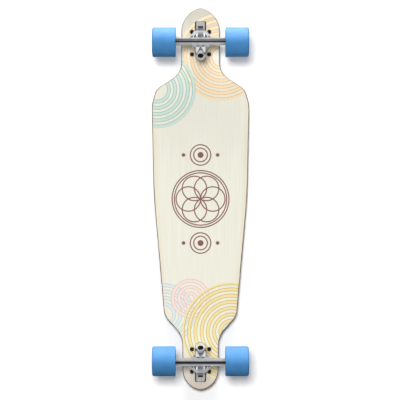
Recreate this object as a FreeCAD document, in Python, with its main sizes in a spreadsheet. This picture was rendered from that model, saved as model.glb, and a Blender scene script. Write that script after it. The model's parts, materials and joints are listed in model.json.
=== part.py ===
import FreeCAD, Part
import math
import os
from types import SimpleNamespace

import Sketcher

# Longboard: the board lies along Y with its nose at +Y, axles along X, and stands on its wheels at Z = 0.
# A truck is drawn in its own frame: X along the axle, Y outwards to the nose or tail, Z up,
# with the middle of the axle at the origin.
# Steering pieces use the kingpin frame: origin at the hanger's ring, Y along the steering axis,
# Z up the kingpin.

DRIVING_SIZES = [
    # Deck blank
    ("deck_length", 914.4),
    ("deck_thickness", 11.0),
    ("deck_edge_radius", 3.0),
    ("flat_half_width", 45.0),
    ("concave_radius", 370.0),
    # Deck outline, half widths and stations along the board
    ("nose_overhang", 88.4),
    ("nose_neck", 46.0),
    ("nose_corner_back", 14.1),
    ("nose_curve_radius", 57.0),
    ("tip_radius", 15.0),
    ("tip_trim", 0.6),
    ("front_neck_end", 66.8),
    ("front_neck_radius", 47.0),
    ("shoulder_back", 38.4),
    ("shoulder_half_width", 106.0),
    ("shoulder_radius", 30.0),
    ("widest_back", 35.6),
    ("widest_half_width", 117.0),
    ("widest_radius", 70.0),
    ("waist_station", 10.0),
    ("waist_half_width", 112.6),
    ("waist_radius", 1200.0),
    ("hip_forward", 101.2),
    ("hip_half_width", 86.8),
    ("hip_radius", 40.0),
    ("tail_neck_end", 53.7),
    ("tail_neck_root", 43.5),
    ("tail_neck_radius", 60.0),
    ("tail_neck", 42.5),
    ("tail_corner_back", 8.8),
    ("tail_curve_radius", 48.0),
    ("tail_overhang", 75.5),
    # Grip sheet
    ("grip_thickness", 0.8),
    ("grip_plate_gap", 0.8),
    # Truck place and drop-through cut-out
    ("truck_height", 66.0),
    ("slot_outer", 56.5),
    ("slot_inner", 38.8),
    ("slot_half_width", 13.6),
    ("slot_outer_radius", 4.0),
    ("slot_inner_radius", 13.0),
    ("slot_gap", 0.6),
    # Baseplate
    ("plate_thickness", 5.0),
    ("plate_half_width", 28.0),
    ("plate_outer", 62.0),
    ("plate_inner", 46.0),
    ("plate_corner_radius", 9.0),
    ("bolt_spread", 41.3),
    ("bolt_spacing", 54.0),
    ("bolt_shift", 4.4),
    ("bolt_diameter", 4.8),
    ("bolt_hole_diameter", 5.4),
    ("bolt_head_diameter", 9.2),
    ("bolt_head_height", 2.6),
    ("bolt_tail", 6.0),
    ("nut_flats", 9.5),
    ("nut_height", 4.6),
    ("nose_block_half_width", 11.4),
    ("nose_block_drop", 2.6),
    ("nose_block_start", 13.0),
    ("nose_block_radius", 5.0),
    ("nose_block_end_radius", 4.0),
    ("keyhole_start", 40.6),
    ("keyhole_width", 10.0),
    ("keyhole_length", 3.6),
    ("keyhole_depth", 13.0),
    ("post_heel_rise", 3.0),
    ("post_face_lean", 2.5),
    ("post_face_height", 14.5),
    ("ramp_foot_margin", 7.0),
    ("ramp_top_margin", 1.7),
    ("ramp_top_lean", 5.5),
    ("plate_chamfer", 1.4),
    # Steering geometry
    ("steer_angle", 42.0),
    ("pivot_reach", 30.0),
    ("pivot_drop", 7.7),
    ("pivot_to_ring", 52.4),
    ("pivot_housing_radius", 9.2),
    ("pivot_cup_radius", 7.0),
    ("pivot_pin_radius", 5.0),
    ("pivot_mouth", 4.5),
    ("pivot_back", 3.5),
    ("pivot_clearance", 0.3),
    # Kingpin stack, heights measured along the kingpin from the ring
    ("kingpin_diameter", 9.5),
    ("kingpin_head_radius", 6.6),
    ("kingpin_head_height", 6.0),
    ("kingpin_grip", 33.0),
    ("kingpin_tail", 1.0),
    ("kingpin_chamfer", 0.8),
    ("kingpin_clearance", 0.2),
    ("kingpin_nut_flats", 14.3),
    ("kingpin_nut_height", 7.0),
    ("boardside_bushing_height", 15.0),
    ("roadside_bushing_height", 9.0),
    ("bushing_radius", 11.8),
    ("bushing_crown", 0.6),
    ("bushing_crown_radius", 30.0),
    ("bushing_edge_radius", 1.2),
    ("bushing_tip_radius", 9.0),
    ("bushing_tip_edge_radius", 1.0),
    ("washer_thickness", 1.5),
    ("washer_lip", 1.3),
    ("washer_lip_gap", 0.5),
    ("washer_lip_wall", 1.2),
    # Hanger
    ("hanger_width", 146.4),
    ("hanger_bar_width", 130.0),
    ("bar_inner", 5.6),
    ("bar_outer", 10.5),
    ("bar_below", 8.5),
    ("bar_above", 9.0),
    ("bar_edge_radius", 2.5),
    ("shoulder_boss_radius", 7.0),
    ("groove_inner", 0.6),
    ("groove_outer", 6.3),
    ("groove_roof", 1.6),
    ("ring_floor_below", 4.0),
    ("ring_floor_above", 4.0),
    ("ring_rim", 8.5),
    ("ring_bore_radius", 7.6),
    ("ring_cup_radius", 15.5),
    ("ring_seat_depth", 2.0),
    ("ring_seat_clearance", 0.9),
    ("ring_end", 25.4),
    ("ring_corner_half_width", 13.8),
    ("ring_corner_radius", 11.0),
    ("wing_half_width", 45.0),
    ("wing_tip", 5.0),
    ("wing_waist_half_width", 28.0),
    ("wing_waist", 0.5),
    ("wing_waist_radius", 18.0),
    ("wing_root", 15.6),
    ("wing_chamfer", 1.8),
    ("wing_recess_wall", 3.0),
    ("wing_recess_depth", 2.0),
    ("web_thickness", 8.6),
    ("arm_flare_half_width", 20.0),
    ("arm_flare_length", 9.0),
    ("arm_root_half_width", 14.0),
    ("arm_tip_half_width", 12.0),
    ("arm_reach", 24.0),
    ("arm_below", 8.0),
    ("arm_tip_below", 1.0),
    ("arm_above", 4.0),
    ("arm_pocket_depth", 9.0),
    ("arm_rib", 2.2),
    ("arm_rib_foot", 5.5),
    ("arm_wall", 2.4),
    ("arm_end_gap", 2.0),
    # Axle and wheels
    ("axle_diameter", 8.0),
    ("axle_length", 215.0),
    ("axle_chamfer", 0.8),
    ("axle_nut_flats", 12.7),
    ("axle_nut_height", 6.5),
    ("fit_clearance", 0.02),
    ("speed_washer_thickness", 1.0),
    ("speed_washer_radius", 6.0),
    ("bearing_diameter", 22.0),
    ("bearing_width", 7.0),
    ("inner_race_radius", 6.1),
    ("outer_race_bore_radius", 9.3),
    ("shield_thickness", 0.5),
    ("shield_inset", 0.3),
    ("shield_gap", 0.25),
    ("spacer_length", 10.0),
    ("spacer_radius", 5.6),
    ("wheel_diameter", 70.0),
    ("wheel_width", 55.0),
    ("outer_lip_radius", 4.5),
    ("inner_lip_radius", 1.6),
    ("lip_face_radius", 1.5),
    ("lip_depth", 11.0),
    ("dish_depth", 6.0),
    ("core_radius", 16.0),
    ("core_end_inset", 1.2),
    ("core_mouth_radius", 12.6),
    ("core_rib_radius", 8.6),
]

doc = FreeCAD.newDocument("longboard")
sheet = doc.addObject("Spreadsheet::Sheet", "Sizes")


class Size:
    """A number together with the sheet expression that gives it."""

    def __init__(self, value, text):
        self.value = value
        self.text = text

    def __add__(self, other):
        other = as_size(other)
        return Size(self.value + other.value, f"({self.text} + {other.text})")

    def __radd__(self, other):
        return as_size(other) + self

    def __sub__(self, other):
        other = as_size(other)
        return Size(self.value - other.value, f"({self.text} - {other.text})")

    def __rsub__(self, other):
        return as_size(other) - self

    def __mul__(self, other):
        other = as_size(other)
        return Size(self.value * other.value, f"({self.text} * {other.text})")

    def __rmul__(self, other):
        return as_size(other) * self

    def __truediv__(self, other):
        other = as_size(other)
        return Size(self.value / other.value, f"({self.text} / {other.text})")

    def __neg__(self):
        return Size(-self.value, f"(0 - {self.text})")


def as_size(thing):
    if isinstance(thing, Size):
        return thing
    return Size(float(thing), f"({float(thing)})")


def cosine(angle):
    return Size(math.cos(math.radians(angle.value)), f"cos({angle.text} * 1 deg)")


def sine(angle):
    return Size(math.sin(math.radians(angle.value)), f"sin({angle.text} * 1 deg)")


def largest(*sizes):
    texts = "; ".join(size.text for size in sizes)
    return Size(max(size.value for size in sizes), f"max({texts})")


def fill_sheet():
    """Write the driving sizes to the sheet and hand them back by name."""
    sizes = {}
    for row, (alias, value) in enumerate(DRIVING_SIZES, start=1):
        sheet.set(f"A{row}", alias)
        sheet.set(f"B{row}", str(value))
        sheet.setAlias(f"B{row}", alias)
        sizes[alias] = Size(value, f"Sizes.{alias}")
    doc.recompute()
    return SimpleNamespace(**sizes)


s = fill_sheet()

# Places that follow from the driving sizes
half_length = s.deck_length / 2
axle_height = s.wheel_diameter / 2
front_axle = half_length - s.nose_overhang
rear_axle = half_length - s.tail_overhang
deck_top = axle_height + s.truck_height
deck_under = deck_top - s.deck_thickness
lean_cos = cosine(s.steer_angle)
lean_sin = sine(s.steer_angle)
ring_out = s.pivot_to_ring * lean_cos - s.pivot_reach
ring_up = s.pivot_to_ring * lean_sin - s.pivot_drop
kingpin_radius = s.kingpin_diameter / 2
kingpin_bore = kingpin_radius + s.kingpin_clearance
axle_radius = s.axle_diameter / 2
shaft_bore = axle_radius + s.fit_clearance
bearing_radius = s.bearing_diameter / 2
roadside_end = s.ring_floor_below + s.roadside_bushing_height
boardside_start = s.ring_floor_above - s.ring_seat_depth
boardside_end = boardside_start + s.boardside_bushing_height
seat_height = boardside_end + s.washer_thickness
wheel_centre = s.hanger_width / 2 + s.speed_washer_thickness + s.bearing_width + s.spacer_length / 2
bearing_offset = s.spacer_length / 2 + s.bearing_width / 2

deck_half_width = largest(s.widest_half_width, s.waist_half_width, s.shoulder_half_width, s.hip_half_width)

TRUCKS = ["front", "rear"]
SIDES = ["left", "right"]
# A blank is this many edge radii wider than the outline sawn from it, and the saw's frame twice as many
BLANK_MARGIN = 4
# A cut runs this many times the thickness that it goes through
CUT_THROUGH = 4
SMALL = 0.01


def kingpin_frame_point(along, up):
    """Truck-frame place of a point given along the steering axis and up the kingpin."""
    outwards = ring_out + along * lean_cos - up * lean_sin
    upwards = ring_up + along * lean_sin + up * lean_cos
    return outwards, upwards


def bind(thing, name, size):
    thing.setExpression(name, as_size(size).text)


def new_body(label):
    body = doc.addObject("PartDesign::Body", label)
    body.Label = label
    return body


def new_sketch(body, role):
    """Empty sketch on one of the body's own origin planes."""
    plane = next(feature for feature in body.Origin.OriginFeatures if feature.Role == role)
    sketch = body.newObject("Sketcher::SketchObject", "Sketch")
    sketch.AttachmentSupport = [(plane, "")]
    sketch.MapMode = "FlatFace"
    return sketch


def raise_sketch(sketch, level):
    """Shift a sketch along its plane's normal."""
    bind(sketch, "AttachmentOffset.Base.z", level)


def turn_sketch(sketch, axis):
    """Turn a sketch by the steering angle round an axis of its own."""
    some_turn = FreeCAD.Rotation(axis, s.steer_angle.value)
    sketch.AttachmentOffset = FreeCAD.Placement(FreeCAD.Vector(), some_turn)
    bind(sketch, "AttachmentOffset.Rotation.Angle", s.steer_angle)


def lean_sketch(sketch, up):
    """Lay an XY sketch square to the kingpin, at a height up the kingpin."""
    outwards, upwards = kingpin_frame_point(0, up)
    turn_sketch(sketch, FreeCAD.Vector(1, 0, 0))
    bind(sketch, "AttachmentOffset.Base.y", outwards)
    bind(sketch, "AttachmentOffset.Base.z", upwards)


def swing_sketch(sketch):
    """Turn a YZ sketch so that its horizontal axis is the steering axis, with the ring at its origin."""
    turn_sketch(sketch, FreeCAD.Vector(0, 0, 1))
    bind(sketch, "AttachmentOffset.Base.x", ring_out)
    bind(sketch, "AttachmentOffset.Base.y", ring_up)


def pin_point(sketch, constraints, formulas, element, point, x, y):
    """Hold one sketch point at x, y, on an axis where a coordinate is nought."""
    for kind, axis, place in (("DistanceX", -2, as_size(x)), ("DistanceY", -1, as_size(y))):
        if abs(place.value) < 1e-9:
            constraints.append(Sketcher.Constraint("PointOnObject", element, point, axis))
            continue
        formulas[len(constraints)] = place.text
        constraints.append(Sketcher.Constraint(kind, -1, 1, element, point, place.value))


def apply_constraints(sketch, constraints, formulas):
    first = sketch.ConstraintCount
    sketch.addConstraint(constraints)
    for index, text in formulas.items():
        sketch.setExpression(f"Constraints[{first + index}]", text)


def corner_arc(before, corner, after, radius):
    """Arc that rounds a corner, its two tangent points, and whether the outline turns left there."""
    arriving = (corner - before).normalize()
    leaving = (after - corner).normalize()
    turn = math.atan2(arriving.x * leaving.y - arriving.y * leaving.x, arriving.dot(leaving))
    reach = radius * math.tan(abs(turn) / 2)
    entry = corner - arriving * reach
    exit_point = corner + leaving * reach
    side = math.copysign(1.0, turn)
    centre = entry + FreeCAD.Vector(-arriving.y, arriving.x, 0) * (side * radius)
    first, last = (entry, exit_point) if turn > 0 else (exit_point, entry)
    circle = Part.Circle(centre, FreeCAD.Vector(0, 0, 1), radius)
    start_angle = math.atan2(first.y - centre.y, first.x - centre.x)
    end_angle = math.atan2(last.y - centre.y, last.x - centre.x)
    return Part.ArcOfCircle(circle, start_angle, end_angle), entry, exit_point, turn > 0


def draw_outline(sketch, corners):
    """Closed outline through corners (x, y) or (x, y, radius), fully held by its corners and radii."""
    corners = [tuple(as_size(value) for value in corner) for corner in corners]
    count = len(corners)
    points = [FreeCAD.Vector(corner[0].value, corner[1].value, 0) for corner in corners]
    entries = list(points)
    exits = list(points)
    arcs = [None] * count
    for index, corner in enumerate(corners):
        if len(corner) == 3:
            before = points[index - 1]
            after = points[(index + 1) % count]
            arc = corner_arc(before, points[index], after, corner[2].value)
            arcs[index], entries[index], exits[index], left_turn = arc
            corners[index] = corner + (left_turn,)
    lines = []
    for index in range(count):
        line = Part.LineSegment(exits[index], entries[(index + 1) % count])
        lines.append(sketch.addGeometry(line, False))
    constraints = []
    formulas = {}
    for index, corner in enumerate(corners):
        arriving = lines[index - 1]
        leaving = lines[index]
        if arcs[index] is None:
            constraints.append(Sketcher.Constraint("Coincident", arriving, 2, leaving, 1))
            pin_point(sketch, constraints, formulas, leaving, 1, corner[0], corner[1])
            continue
        arc = sketch.addGeometry(arcs[index], False)
        mark = sketch.addGeometry(Part.Point(points[index]), True)
        entry_end, exit_end = (1, 2) if corner[3] else (2, 1)
        constraints.append(Sketcher.Constraint("Tangent", arriving, 2, arc, entry_end))
        constraints.append(Sketcher.Constraint("Tangent", arc, exit_end, leaving, 1))
        formulas[len(constraints)] = corner[2].text
        constraints.append(Sketcher.Constraint("Radius", arc, corner[2].value))
        pin_point(sketch, constraints, formulas, mark, 1, corner[0], corner[1])
        constraints.append(Sketcher.Constraint("PointOnObject", mark, 1, arriving))
        constraints.append(Sketcher.Constraint("PointOnObject", mark, 1, leaving))
    apply_constraints(sketch, constraints, formulas)


def draw_circle(sketch, x, y, radius):
    x = as_size(x)
    y = as_size(y)
    radius = as_size(radius)
    circle = Part.Circle(FreeCAD.Vector(x.value, y.value, 0), FreeCAD.Vector(0, 0, 1), radius.value)
    element = sketch.addGeometry(circle, False)
    formulas = {0: radius.text}
    constraints = [Sketcher.Constraint("Radius", element, radius.value)]
    pin_point(sketch, constraints, formulas, element, 3, x, y)
    apply_constraints(sketch, constraints, formulas)


def draw_box(sketch, low_x, low_y, high_x, high_y):
    draw_outline(sketch, [(low_x, low_y), (high_x, low_y), (high_x, high_y), (low_x, high_y)])


def draw_hexagon(sketch, flats):
    """Hexagon round the sketch origin, given across its flats."""
    slope = math.tan(math.radians(30))
    side = flats / 2
    half_edge = side * slope
    tip = half_edge * 2
    upper = [(half_edge, side), (-half_edge, side)]
    lower = [(-half_edge, -side), (half_edge, -side)]
    draw_outline(sketch, [(tip, 0), *upper, (-tip, 0), *lower])


def mirrored(corners):
    """Corners of a right-hand half outline followed by their mirror images, nearest first."""
    left = [(-corner[0],) + tuple(corner[1:]) for corner in reversed(corners)]
    return list(corners) + left


def extrude(body, kind, sketch, length, both_ways=False, reverse=False):
    """Pad or pocket of a given length, from one side of its sketch or from both."""
    feature = body.newObject(f"PartDesign::{kind}", kind)
    feature.Profile = sketch
    feature.SideType = "Symmetric" if both_ways else "One side"
    feature.Reversed = reverse
    bind(feature, "Length", length)
    return feature


def revolve_feature(body, kind, sketch, axis="H_Axis"):
    """Revolution or groove of a sketch round one of its own axes."""
    turned = body.newObject(f"PartDesign::{kind}", kind)
    turned.Profile = sketch
    turned.ReferenceAxis = (sketch, [axis])
    turned.Angle = 360


def lathe(label, role, axis, corners):
    """Body turned from one half profile round an axis of its sketch."""
    body = new_body(label)
    sketch = new_sketch(body, role)
    draw_outline(sketch, corners)
    revolve_feature(body, "Revolution", sketch, axis)
    return body


def turned_on_kingpin(label, corners):
    """Piece turned round the kingpin, profile given as (radius, height up the kingpin)."""
    return lathe(label, "XZ_Plane", "V_Axis", corners)


def turned_on_axle(label, corners):
    """Piece turned round the axle, profile given as (place along the axle, radius)."""
    return lathe(label, "XZ_Plane", "H_Axis", corners)


def group(label, pieces):
    """One node that holds several separate solids."""
    gathered = doc.addObject("Part::Compound", label)
    gathered.Label = label
    gathered.Links = pieces
    return gathered


def truck_place(end):
    """Placement expression of a truck's frame: the rear truck is the front one turned round."""
    station = front_axle if end == "front" else -rear_axle
    turn = 0 if end == "front" else 180
    height = axle_height.text
    return f"placement(vector(0; {station.text}; {height}); rotation(vector(0; 0; 1); {turn}))"


def local_place(x, y, z, axis="0; 0; 1", angle="0"):
    where = "; ".join(as_size(value).text for value in (x, y, z))
    return f"placement(vector({where}); rotation(vector({axis}); {angle}))"


def place(piece, *frames):
    piece.setExpression("Placement", " * ".join(frames))


def kingpin_place(end):
    """Frames that carry a kingpin-frame piece to its truck."""
    return truck_place(end), local_place(0, ring_out, ring_up, "1; 0; 0", s.steer_angle.text)


def side_place(end, side):
    """Frames that carry a wheel piece, drawn with its outer lip at +X, to its end of the axle."""
    towards_right = (side == "right") == (end == "front")
    turn = "0" if towards_right else "180"
    centre = wheel_centre if towards_right else -wheel_centre
    return truck_place(end), local_place(centre, 0, 0, "0; 0; 1", turn)


# Deck


def deck_corners():
    """Right-hand half of the deck outline from nose tip to tail tip."""
    neck_end = front_axle - s.front_neck_end
    shoulder = neck_end - s.shoulder_back
    widest = shoulder - s.widest_back
    hip = s.hip_forward - rear_axle
    tail_root = s.tail_neck_end - rear_axle
    return [
        (s.tail_neck, s.tail_corner_back - half_length, s.tail_curve_radius),
        (s.tail_neck_root, tail_root, s.tail_neck_radius),
        (s.hip_half_width, hip, s.hip_radius),
        (s.waist_half_width, s.waist_station, s.waist_radius),
        (s.widest_half_width, widest, s.widest_radius),
        (s.shoulder_half_width, shoulder, s.shoulder_radius),
        (s.nose_neck, neck_end, s.front_neck_radius),
        (s.nose_neck, half_length - s.nose_corner_back, s.nose_curve_radius),
    ]


def deck_outline():
    """Whole outline, anticlockwise from the tail tip."""
    right = deck_corners()
    tail_tip = (0, -half_length - s.tip_trim, s.tip_radius)
    nose_tip = (0, half_length + s.tip_trim, s.tip_radius)
    left = [(-corner[0],) + corner[1:] for corner in reversed(right)]
    return [tail_tip] + right + [nose_tip] + left


def inset_outline(corners, inset):
    """The same rounded outline drawn in by a distance, as plain numbers."""
    numbers = [[as_size(value).value for value in corner] for corner in corners]
    count = len(numbers)
    result = []
    for index, (x, y, radius) in enumerate(numbers):
        before = numbers[index - 1]
        after = numbers[(index + 1) % count]
        arriving = FreeCAD.Vector(x - before[0], y - before[1], 0).normalize()
        leaving = FreeCAD.Vector(after[0] - x, after[1] - y, 0).normalize()
        inward = FreeCAD.Vector(-arriving.y - leaving.y, arriving.x + leaving.x, 0).normalize()
        share = inward.dot(FreeCAD.Vector(-arriving.y, arriving.x, 0))
        left_turn = arriving.x * leaving.y - arriving.y * leaving.x > 0
        new_radius = radius - inset if left_turn else radius + inset
        result.append((x + inward.x * inset / share, y + inward.y * inset / share, new_radius))
    return result


def draw_tub_section(sketch, under, over):
    """Cross-section between two heights: flat in the middle, with rails that rise on an arc."""
    reach = deck_half_width + s.deck_edge_radius * BLANK_MARGIN
    centre_height = deck_under + s.concave_radius
    low_radius = s.concave_radius - under
    high_radius = s.concave_radius - over
    arcs = []
    ends = []
    for radius in (low_radius, high_radius):
        fall = math.sqrt(radius.value**2 - (reach - s.flat_half_width).value ** 2)
        ends.append(centre_height.value - fall)
        arcs.append((radius.value, centre_height.value - radius.value))
    edges = []
    upward = FreeCAD.Vector(0, 0, 1)
    flat = s.flat_half_width.value
    side = reach.value
    rows = []
    for (radius, level), end in zip(arcs, ends):
        right = Part.Circle(FreeCAD.Vector(flat, centre_height.value, 0), upward, radius)
        left = Part.Circle(FreeCAD.Vector(-flat, centre_height.value, 0), upward, radius)
        right_end = math.atan2(end - centre_height.value, side - flat)
        left_end = math.atan2(end - centre_height.value, flat - side)
        rows.append((
            Part.ArcOfCircle(left, left_end, -math.pi / 2),
            Part.LineSegment(FreeCAD.Vector(-flat, level, 0), FreeCAD.Vector(flat, level, 0)),
            Part.ArcOfCircle(right, -math.pi / 2, right_end),
        ))
    for row in rows:
        edges.append([sketch.addGeometry(edge, False) for edge in row])
    walls = []
    for x in (-side, side):
        wall = Part.LineSegment(FreeCAD.Vector(x, ends[0], 0), FreeCAD.Vector(x, ends[1], 0))
        walls.append(sketch.addGeometry(wall, False))
    constraints = []
    formulas = {}
    for (left_arc, flat_line, right_arc), radius, end in zip(edges, (low_radius, high_radius), (1, 2)):
        constraints.append(Sketcher.Constraint("Tangent", left_arc, 2, flat_line, 1))
        constraints.append(Sketcher.Constraint("Tangent", flat_line, 2, right_arc, 1))
        constraints.append(Sketcher.Constraint("Coincident", walls[0], end, left_arc, 1))
        constraints.append(Sketcher.Constraint("Coincident", walls[1], end, right_arc, 2))
        formulas[len(constraints)] = radius.text
        constraints.append(Sketcher.Constraint("Radius", left_arc, radius.value))
        formulas[len(constraints)] = radius.text
        constraints.append(Sketcher.Constraint("Radius", right_arc, radius.value))
        pin_point(sketch, constraints, formulas, left_arc, 3, -s.flat_half_width, centre_height)
    formulas[len(constraints)] = s.flat_half_width.text
    constraints.append(Sketcher.Constraint("DistanceX", -1, 1, edges[0][1], 2, flat))
    constraints.append(Sketcher.Constraint("Vertical", edges[0][1], 2, edges[1][1], 2))
    for wall, offset in zip(walls, (-reach, reach)):
        constraints.append(Sketcher.Constraint("Vertical", wall))
        formulas[len(constraints)] = offset.text
        constraints.append(Sketcher.Constraint("DistanceX", -1, 1, wall, 1, offset.value))
    apply_constraints(sketch, constraints, formulas)


def tub_blank(label, under, over, outline):
    """Sheet bent to the tub section and sawn to an outline."""
    body = new_body(label)
    section = new_sketch(body, "XZ_Plane")
    draw_tub_section(section, under, over)
    blank_length = s.deck_length + s.deck_edge_radius * BLANK_MARGIN
    extrude(body, "Pad", section, blank_length, both_ways=True)
    saw = new_sketch(body, "XY_Plane")
    raise_sketch(saw, deck_top)
    side = deck_half_width + s.deck_edge_radius * BLANK_MARGIN * 2
    draw_box(saw, -side, -blank_length, side, blank_length)
    draw_outline(saw, outline)
    cut = extrude(body, "Pocket", saw, s.concave_radius, both_ways=True)
    return body, cut


def truck_stations():
    """Truck places along the board with the outward direction of each."""
    return [(front_axle, 1), (-rear_axle, -1)]


def ease_edges(body, feature, kind, size, wanted):
    """Fillet or chamfer on the edges of a feature that a test picks."""
    doc.recompute()
    edges = enumerate(feature.Shape.Edges, start=1)
    eased = body.newObject(f"PartDesign::{kind}", kind)
    eased.Base = (feature, [f"Edge{index}" for index, edge in edges if wanted(edge)])
    bind(eased, "Radius" if kind == "Fillet" else "Size", size)
    body.Tip = eased


def round_edges(body, feature, radius):
    """Round the long edges where a sawn wall meets the sheet's faces."""

    def on_saw_line(edge):
        first, last = edge.Vertexes[0].Point, edge.Vertexes[-1].Point
        upright = math.hypot(first.x - last.x, first.y - last.y) < SMALL
        faces = feature.Shape.ancestorsOfType(edge, Part.Face)
        return not upright and any(abs(face.normalAt(0, 0).z) < SMALL for face in faces)

    ease_edges(body, feature, "Fillet", radius, on_saw_line)


def bolt_places(station, outward):
    """Board-frame places of one truck's four bolts."""
    places = []
    for across in (-1, 1):
        for along in (-1, 1):
            x = s.bolt_spread / 2 * across
            y = station + (s.bolt_shift + s.bolt_spacing / 2 * along) * outward
            places.append((x, y))
    return places


def make_deck():
    body, cut = tub_blank("deck", as_size(0), s.deck_thickness, deck_outline())
    round_edges(body, cut, s.deck_edge_radius)
    openings = new_sketch(body, "XY_Plane")
    raise_sketch(openings, deck_under - s.deck_thickness)
    for station, outward in truck_stations():
        inner_end = station - s.slot_inner * outward
        outer_end = station + s.slot_outer * outward
        half = s.slot_half_width * outward
        draw_outline(openings, [
            (-half, inner_end, s.slot_inner_radius),
            (half, inner_end, s.slot_inner_radius),
            (half, outer_end, s.slot_outer_radius),
            (-half, outer_end, s.slot_outer_radius),
        ])
        for x, y in bolt_places(station, outward):
            draw_circle(openings, x, y, s.bolt_hole_diameter / 2)
    extrude(body, "Pocket", openings, s.deck_thickness * CUT_THROUGH, reverse=True)
    return body


def make_grip():
    outline = inset_outline(deck_outline(), s.deck_edge_radius.value)
    body, _ = tub_blank("grip_tape", s.deck_thickness, s.deck_thickness + s.grip_thickness, outline)
    windows = new_sketch(body, "XY_Plane")
    raise_sketch(windows, deck_under)
    for station, outward in truck_stations():
        side = (s.plate_half_width + s.grip_plate_gap) * outward
        low = station - (s.plate_inner + s.grip_plate_gap) * outward
        high = station + (s.plate_outer + s.grip_plate_gap) * outward
        corner = s.plate_corner_radius + s.grip_plate_gap
        near = [(-side, low, corner), (side, low, corner)]
        far = [(side, high, corner), (-side, high, corner)]
        draw_outline(windows, near + far)
    extrude(body, "Pocket", windows, s.deck_thickness * CUT_THROUGH, reverse=True)
    return body


# Truck pieces that stay with the deck


def plate_side_corners():
    """Side view of the baseplate below its flange: pivot post and bushing ramp."""
    block_inner = s.slot_inner - s.slot_gap
    ramp_low = kingpin_frame_point(s.ramp_foot_margin - s.ring_end, seat_height)
    ramp_high = kingpin_frame_point(s.bushing_radius + s.ramp_top_margin, seat_height)
    return [
        (-block_inner, s.truck_height),
        (-block_inner, s.post_heel_rise - s.pivot_drop),
        (-s.pivot_reach, -s.pivot_drop),
        (s.post_face_lean - s.pivot_reach, s.post_face_height - s.pivot_drop),
        ramp_low,
        ramp_high,
        (ramp_high[0] + s.ramp_top_lean, s.truck_height),
    ]


def make_baseplate(end):
    body = new_body(f"{end}_baseplate")
    block_half = s.slot_half_width - s.slot_gap
    block_inner = s.slot_inner - s.slot_gap
    block_outer = s.slot_outer - s.slot_gap

    side_view = new_sketch(body, "YZ_Plane")
    draw_outline(side_view, plate_side_corners())
    extrude(body, "Pad", side_view, block_half * 2, both_ways=True)

    plan = new_sketch(body, "XY_Plane")
    raise_sketch(plan, s.truck_height)
    margin = s.plate_half_width
    draw_box(plan, -margin, -block_inner - margin, margin, block_outer + margin)
    inner_radius = s.slot_inner_radius - s.slot_gap
    outer_radius = s.slot_outer_radius - s.slot_gap
    draw_outline(plan, [
        (-block_half, -block_inner, inner_radius),
        (block_half, -block_inner, inner_radius),
        (block_half, block_outer, outer_radius),
        (-block_half, block_outer, outer_radius),
    ])
    extrude(body, "Pocket", plan, s.truck_height * 2)

    flange = new_sketch(body, "XY_Plane")
    raise_sketch(flange, s.truck_height)
    draw_outline(flange, [
        (-s.plate_half_width, -s.plate_inner, s.plate_corner_radius),
        (s.plate_half_width, -s.plate_inner, s.plate_corner_radius),
        (s.plate_half_width, s.plate_outer, s.plate_corner_radius),
        (-s.plate_half_width, s.plate_outer, s.plate_corner_radius),
    ])
    plate = extrude(body, "Pad", flange, s.plate_thickness)
    plate_top = s.truck_height.value + s.plate_thickness.value

    def on_plate_rim(edge):
        return all(abs(vertex.Z - plate_top) < SMALL for vertex in edge.Vertexes)

    ease_edges(body, plate, "Chamfer", s.plate_chamfer, on_plate_rim)

    nose_block = new_sketch(body, "XZ_Plane")
    raise_sketch(nose_block, -s.nose_block_start)
    under = s.truck_height - s.deck_thickness - s.nose_block_drop
    draw_outline(nose_block, [
        (-s.nose_block_half_width, under, s.nose_block_radius),
        (s.nose_block_half_width, under, s.nose_block_radius),
        (s.nose_block_half_width, s.truck_height),
        (-s.nose_block_half_width, s.truck_height),
    ])
    nose = extrude(body, "Pad", nose_block, block_outer - s.nose_block_start, reverse=True)

    def on_nose_end(edge):
        centre = edge.CenterOfMass
        at_end = all(abs(vertex.Y - block_outer.value) < SMALL for vertex in edge.Vertexes)
        return at_end and centre.z < s.truck_height.value - SMALL

    ease_edges(body, nose, "Fillet", s.nose_block_end_radius, on_nose_end)

    housing_mouth = s.pivot_mouth - s.pivot_to_ring
    housing_end = -s.pivot_back - s.pivot_to_ring
    housing = new_sketch(body, "YZ_Plane")
    swing_sketch(housing)
    draw_box(housing, housing_end, 0, housing_mouth, s.pivot_housing_radius)
    revolve_feature(body, "Revolution", housing)

    cup_bore = new_sketch(body, "YZ_Plane")
    swing_sketch(cup_bore)
    mouth_end = housing_mouth + s.pivot_housing_radius * 2
    back_end = housing_end - s.pivot_housing_radius
    cup_seat = s.pivot_cup_radius + s.fit_clearance
    draw_outline(cup_bore, [
        (back_end, 0),
        (mouth_end, 0),
        (mouth_end, s.pivot_housing_radius),
        (housing_mouth, s.pivot_housing_radius),
        (housing_mouth, cup_seat),
        (back_end, cup_seat),
    ])
    revolve_feature(body, "Groove", cup_bore)

    kingpin_hole = new_sketch(body, "YZ_Plane")
    swing_sketch(kingpin_hole)
    draw_kingpin_hole(kingpin_hole)
    revolve_feature(body, "Groove", kingpin_hole, "V_Axis")

    holes = new_sketch(body, "XY_Plane")
    raise_sketch(holes, s.truck_height + s.plate_thickness)
    for x, y in bolt_places(as_size(0), 1):
        draw_circle(holes, x, y, s.bolt_hole_diameter / 2)
    extrude(body, "Pocket", holes, s.plate_thickness)

    keyhole = new_sketch(body, "XY_Plane")
    raise_sketch(keyhole, under)
    half_key = s.keyhole_width / 2
    draw_box(keyhole, -half_key, s.keyhole_start, half_key, s.keyhole_start + s.keyhole_length)
    extrude(body, "Pocket", keyhole, s.keyhole_depth, reverse=True)
    place(body, truck_place(end))
    return body


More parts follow.
